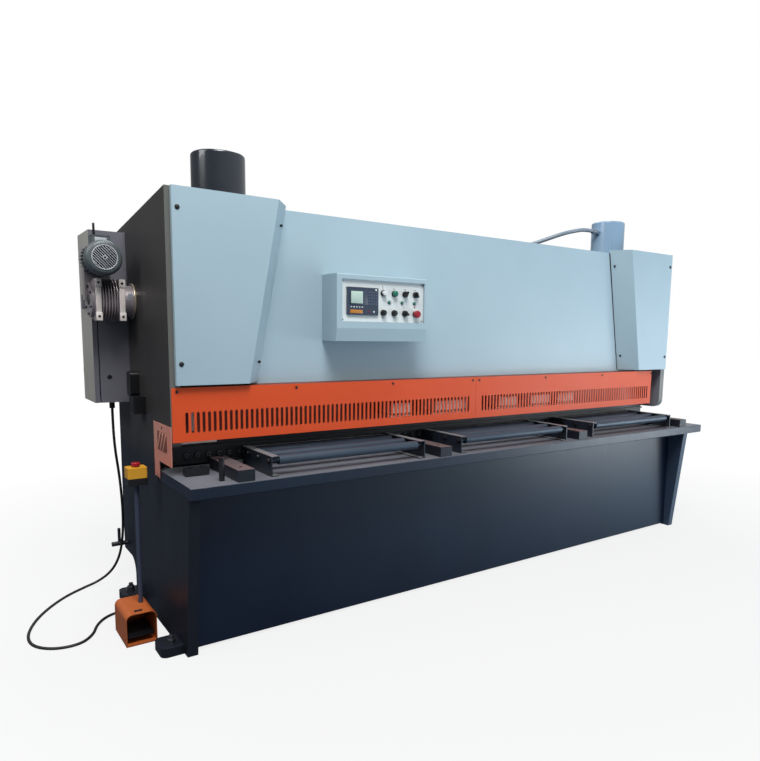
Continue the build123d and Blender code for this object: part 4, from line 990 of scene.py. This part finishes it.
@dataclass
class ControlPanel(PieceSet):
    """Switches, lamps and the controller's face on the control box."""

    plate_y: float = -0.368
    face_y: float = -0.377
    upper_z: float = 1.682
    lower_z: float = 1.579
    lamp_z: float = 1.636
    columns: Row = (-0.794, -0.723, -0.652, -0.581)
    lamp_x: Row = (-0.755, -0.670, -0.586)
    plate_corners: tuple[Span, ...] = ((-1.044, 1.736), (-0.534, 1.736), (-1.044, 1.539), (-0.534, 1.539))
    mark_depth: float = 0.001
    key_pitch_x: float = 0.0155
    key_pitch_z: float = 0.0150
    icon_pitch: float = 0.0165

    def collars(self) -> None:
        """Set a black collar under each switch, in place of the plain solids, and the turning knobs."""
        y = self.plate_y
        places = [(x, self.upper_z) for x in self.columns] + [(x, self.lower_z) for x in self.columns[:3]]
        for x, z in places:
            self.round(Axis.Y, (x, y - 0.004, z), diameter=0.034, length=0.008, sides=32, bevel=0.001)
        stop = (self.columns[3], y - 0.005, 1.577)
        self.round(Axis.Y, stop, diameter=0.034, length=0.010, sides=32, bevel=0.001)
        for x, z in places[4:6]:
            self.round(Axis.Y, (x, y - 0.014, z), diameter=0.028, length=0.014, sides=32, bevel=0.003)
            self.ring(Axis.Y, (x, y - 0.020, z), diameter=0.018, wire=0.002)
        for (x, z), lean in ((places[2], 0.5), (places[3], -0.4), (places[6], -1.1)):
            self.round(Axis.Y, (x, y - 0.012, z), diameter=0.030, length=0.010, sides=32, bevel=0.002)
            self.bar((x, y - 0.022, z), size=(0.011, 0.014, 0.032), turn=(0.0, lean, 0.0), bevel=0.002)
        collars = self.join("switch_collars", Slot.BLACK_PLASTIC)
        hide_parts("panel_switches")

    def caps(self) -> None:
        """Put the coloured caps, the lamps and their rims on the plate."""
        y = self.plate_y
        pale = (self.columns[0], y - 0.015, self.upper_z)
        self.round(Axis.Y, pale, diameter=0.025, length=0.014, sides=32, bevel=0.002)
        self.join("pale_cap", Slot.SWITCH_WHITE)
        for x in self.lamp_x:
            rim = (x + 0.003, y - 0.001, self.lamp_z)
            self.round(Axis.Y, rim, diameter=0.024, length=0.003, sides=28, bevel=0.001)
        self.join("lamp_rims", Look.PALE_PLATE)
        green = (self.columns[1], y - 0.014, self.upper_z)
        self.round(Axis.Y, green, diameter=0.031, length=0.014, sides=32, bevel=0.002)
        self.dome((self.columns[1], y - 0.020, self.upper_z), size=(0.030, 0.010, 0.030))
        for x in self.lamp_x:
            self.dome((x - 0.002, y - 0.003, self.lamp_z), size=(0.018, 0.014, 0.018))
        self.join("green_caps", Look.CAP_GREEN)

    def mark(self, y: float, low: Span, high: Span) -> None:
        """Lay a flat plain mark on a plate.

        Args:
            y: Its front face.
            low: X and Z of its lower left corner.
            high: X and Z of its upper right corner.
        """
        self.box((low[0], y, low[1]), (high[0], y + self.mark_depth, high[1]))

    def prints(self) -> None:
        """Print small plain marks beside the switches, and fix the plate with four screws."""
        y = self.plate_y - 0.0004
        self.mark(y, (-0.7985, 1.702), (-0.7955, 1.722))
        self.mark(y, (-0.7985, 1.545), (-0.7955, 1.556))
        for x in self.columns[1:]:
            self.mark(y, (x - 0.008, 1.706), (x + 0.008, 1.709))
        for x in self.columns[:3]:
            self.mark(y, (x - 0.008, 1.556), (x + 0.008, 1.559))
        self.join("switch_prints", Look.PRINT_DARK)
        self.mark(y, (-0.660, 1.607), (-0.654, 1.613))
        self.mark(y, (-0.591, 1.610), (-0.580, 1.617))
        self.join("brown_prints", Look.PRINT_BROWN)
        for x, z in self.plate_corners:
            self.screw(Axis.Y, (x, self.plate_y, z), FORWARD, diameter=0.007, height=0.002)
        self.join("plate_screws", Look.DARK_STEEL)

    def controller(self) -> None:
        """Finish the face of the gauge controller: display, keys and indicators."""
        y = self.face_y
        self.box((-1.008, y - 0.001, 1.616), (-0.898, y + 0.001, 1.694), bevel=0.0005)
        self.join("display_bezel", Look.CONTROLLER_FACE)
        self.box((-0.999, y - 0.0016, 1.623), (-0.928, y, 1.685), bevel=0.0004)
        self.join("display_face", Look.SCREEN_PALE)
        for column in range(4):
            for row in range(5):
                x = -0.894 + column * self.key_pitch_x
                z = 1.617 + row * self.key_pitch_z
                self.box((x, y - 0.0012, z), (x + 0.011, y, z + 0.010), bevel=0.0005)
        self.join("controller_keys", Look.KEY_BLUE)
        for number in range(5):
            x = -1.001 + number * self.icon_pitch
            self.box((x, y - 0.0008, 1.602), (x + 0.008, y, 1.607))
        self.box((-0.850, y - 0.0008, 1.692), (-0.840, y, 1.701))
        self.dome((-0.858, y - 0.0005, 1.582), size=(0.010, 0.003, 0.010))
        self.join("controller_icons", Slot.SWITCH_WHITE)
        self.box((-1.004, y - 0.0012, 1.572), (-0.928, y, 1.590), bevel=0.0004)
        self.join("amber_display", Look.SCREEN_AMBER)
        self.dome((-0.891, y - 0.0005, 1.582), size=(0.009, 0.003, 0.009))
        self.join("red_indicator", Slot.STOP_RED)

    def build(self) -> None:
        """Build the whole panel."""
        self.collars()
        self.caps()
        self.prints()
        self.controller()


@dataclass
class GapAdjuster(PieceSet):
    """Details of the motor and the worm gearbox on the left side plate."""

    motor: Point = (-2.074, 0.110, 1.812)
    grille_radius: float = 0.055
    slat_pitch: float = 0.0098
    lid_low: Point = (-2.116, 0.172, 1.916)
    lid_high: Point = (-2.032, 0.262, 1.922)
    axis_y: float = 0.296
    axis_z: float = 1.617
    straps: tuple[Span, ...] = ((-2.106, -2.076), (-1.996, -1.966))
    flange_y: float = 0.202
    pad_reach: float = 0.082
    cap_x: float = -2.120
    cap_circle: float = 0.068
    neck_x: float = -1.943
    neck_turn: Point = (0.0, 0.26, 0.0)

    def grille(self) -> None:
        """Lay the slats, the rim and the hub of the fan grille."""
        x, y, z = self.motor
        self.round(Axis.Y, (x, y + 0.0005, z), diameter=0.112, length=0.003, sides=40)
        self.join("grille_back", Slot.BLACK_PLASTIC)
        self.ring(Axis.Y, (x, y - 0.001, z), diameter=0.114, wire=0.006)
        for number in range(-5, 6):
            offset = number * self.slat_pitch
            length = 2 * math.sqrt(self.grille_radius**2 - offset**2)
            shift = offset / math.sqrt(2.0)
            centre = (x + shift, y - 0.0015, z + shift)
            self.bar(centre, size=(length, 0.002, 0.0032), turn=(0.0, math.pi / 4, 0.0), bevel=0.0004)
        self.round(Axis.Y, (x, y - 0.003, z), diameter=0.026, length=0.003, sides=4)
        self.join("grille_slats", Look.PALE_PLATE)
        self.round(Axis.Y, (x, y - 0.005, z), diameter=0.009, length=0.002, sides=16)
        self.join("grille_hub", Look.DARK_STEEL)

    def terminal_box(self) -> None:
        """Lid, screws and blank label of the motor's terminal box."""
        self.box(self.lid_low, self.lid_high, bevel=0.002)
        self.join("terminal_lid", Slot.MOTOR_GREY)
        self.box((-2.104, 0.1705, 1.893), (-2.050, 0.172, 1.911), bevel=0.0005)
        self.join("terminal_label", Look.PALE_PLATE)
        for x in (self.lid_low[0] + 0.008, self.lid_high[0] - 0.008):
            for y in (self.lid_low[1] + 0.008, self.lid_high[1] - 0.008):
                self.screw(Axis.Z, (x, y, self.lid_high[2]), UPWARD, diameter=0.008, height=0.003)
        self.join("terminal_screws", Look.DARK_STEEL)

    def straps_and_ring(self) -> None:
        """Face the gearbox flanges with bare straps and drilled pads, whose holes are black discs of painted
        shade.
        """
        front = self.flange_y
        for low_x, high_x in self.straps:
            middle = (low_x + high_x) / 2
            low = (middle - 0.013, 0.2035, self.axis_z - 0.066)
            self.box(low, (middle + 0.013, 0.2085, self.axis_z + 0.066), bevel=0.002)
            for side in (-1.0, 1.0):
                z = self.axis_z + side * self.pad_reach
                self.box((low_x, front - 0.002, z - 0.020), (high_x, front, z + 0.020), bevel=0.0015)
        self.join("flange_straps", Look.BARE_STRAP)
        # Painted shade: black discs for the dark insides of the holes in the pads.
        for low_x, high_x in self.straps:
            for side in (-1.0, 1.0):
                centre = ((low_x + high_x) / 2, front - 0.0018, self.axis_z + side * self.pad_reach)
                self.round(Axis.Y, centre, diameter=0.013, length=0.002, sides=20)
        self.join("flange_hole_shade", Slot.BLACK_PLASTIC)
        middle = (-1.9180, self.axis_y, self.axis_z)
        self.round(Axis.X, middle, diameter=0.181, length=0.008, sides=48, bevel=0.001)
        self.join("bronze_ring", Look.BRONZE)

    def cap_and_label(self) -> None:
        """Screws of the left cap and the blank label on the neck."""
        for number in range(6):
            angle = math.pi / 6 + number * math.pi / 3
            y = self.axis_y + self.cap_circle * math.cos(angle)
            z = self.axis_z + self.cap_circle * math.sin(angle)
            self.screw(Axis.X, (self.cap_x, y, z), LEFTWARD, diameter=0.014, height=0.008)
        plug = (self.cap_x - 0.002, self.axis_y, self.axis_z)
        self.round(Axis.X, plug, diameter=0.050, length=0.006, sides=32, bevel=0.002)
        self.join("cap_screws", Slot.TOOL_STEEL)
        label = (self.neck_x, 0.2165, 1.636)
        self.bar(label, size=(0.022, 0.003, 0.040), turn=self.neck_turn, bevel=0.0008)
        self.join("neck_label", Look.PALE_PLATE)
        for number in range(3):
            line = (self.neck_x, 0.2145, 1.626 + number * 0.009)
            self.bar(line, size=(0.014, 0.001, 0.002), turn=self.neck_turn)
        self.join("neck_label_lines", Look.KEY_BLUE)

    def build(self) -> None:
        """Build every detail of the adjuster."""
        self.grille()
        self.terminal_box()
        self.straps_and_ring()
        self.cap_and_label()


@dataclass
class FrameDetails(PieceSet):
    """Anchor bolts, cylinder screws, cabinet fittings and the foot switch's details."""

    anchor_x: float = 1.958
    anchor_y: float = 0.377
    # The height, diameter, length, sides and bevel of each part of an anchor.
    anchor_stack: tuple[Row, ...] = (
        (0.044, 0.052, 0.004, 32, 0.0),
        (0.056, 0.042, 0.020, 6, 0.002),
        (0.065, 0.023, 0.034, 20, 0.002),
    )
    cylinder_x: float = 1.550
    cylinder_top: float = 2.340
    screw_circle: float = 0.096
    tread_pitch: float = 0.016

    def anchors(self) -> None:
        """Set a washer, a nut and the end of a stud on each foot."""
        for x in (-self.anchor_x, self.anchor_x):
            for y in (-self.anchor_y, self.anchor_y):
                for z, diameter, height, sides, bevel in self.anchor_stack:
                    self.round(Axis.Z, (x, y, z), diameter, height, sides, bevel)
        self.join("anchor_bolts", Slot.TOOL_STEEL)

    def cylinder_screws(self) -> None:
        """Ring the top of each main cylinder with screws round a plug."""
        for x in (-self.cylinder_x, self.cylinder_x):
            for number in range(8):
                angle = math.pi / 8 + number * math.pi / 4
                across = self.screw_circle * math.cos(angle)
                along = self.screw_circle * math.sin(angle)
                head = (x + across, along, self.cylinder_top)
                self.round(Axis.Z, head, diameter=0.022, length=0.002, sides=20)
            self.round(Axis.Z, (x, 0.0, self.cylinder_top + 0.001), diameter=0.044, length=0.002, sides=6)
        self.join("cylinder_screws", Look.DARK_STEEL)

    def cabinet_fittings(self) -> None:
        """Lock, latch and thin rod of the electrical cabinet."""
        lock = (-2.0935, 0.440, 1.560)
        self.round(Axis.X, lock, diameter=0.026, length=0.004, sides=28, bevel=0.001)
        latch = (-2.018, 0.3955, 1.223)
        self.round(Axis.Y, latch, diameter=0.022, length=0.003, sides=28, bevel=0.001)
        self.join("cabinet_lock", Look.DARK_STEEL)
        rod = (-2.066, 0.391, 1.971)
        self.round(Axis.Z, rod, diameter=0.012, length=0.076, sides=16, bevel=0.001)
        self.join("cabinet_rod", Slot.BLACK_PLASTIC)

    def pedal_details(self) -> None:
        """Label of the hood and the treads of the pedal."""
        low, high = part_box("foot_pedal")
        for number in range(6):
            y = low[1] + 0.018 + number * self.tread_pitch
            corner = (high[0] - 0.012, y + 0.006, high[2] + 0.0012)
            self.box((low[0] + 0.012, y, high[2] - 0.001), corner, bevel=0.0005)
        self.join("pedal_treads", Slot.BLACK_PLASTIC, "pedal")
        self.box((-2.074, -0.206, 0.1545), (-2.038, -0.186, 0.1565), bevel=0.0005)
        self.join("hood_label", Look.DARK_STEEL)

    def build(self) -> None:
        """Build every detail."""
        self.anchors()
        self.cylinder_screws()
        self.cabinet_fittings()
        self.pedal_details()


def dress_nodes(frame: dict, materials: Materials) -> None:
    """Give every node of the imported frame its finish.

    Args:
        materials: The finishes by slot and look.
    """
    slots = {entry["node"]: Slot(entry["material_slot"]) for entry in frame["record"]["subparts"]}
    for name, node in frame["nodes"].items():
        node.data.materials.clear()
        node.data.materials.append(materials[NODE_LOOKS.get(name, slots[name])])


def main() -> None:
    """Build the studio, the finishes and every piece, in order."""
    logging.basicConfig(level=logging.INFO, format="%(message)s")
    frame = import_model()
    Studio().build()
    cloud = GroupBuilder.cloud()
    facing = GroupBuilder.facing()
    materials = {finish.key: finish.build(cloud, facing) for finish in FINISHES}
    dress_nodes(frame, materials)
    FootSwitchCable().build(materials)
    for details in (FrontDetails, ControlPanel, GapAdjuster, FrameDetails):
        details(materials).build()
    LOG.info("nodes dressed: %d", len(frame["nodes"]))


if __name__ == "__main__":
    main()
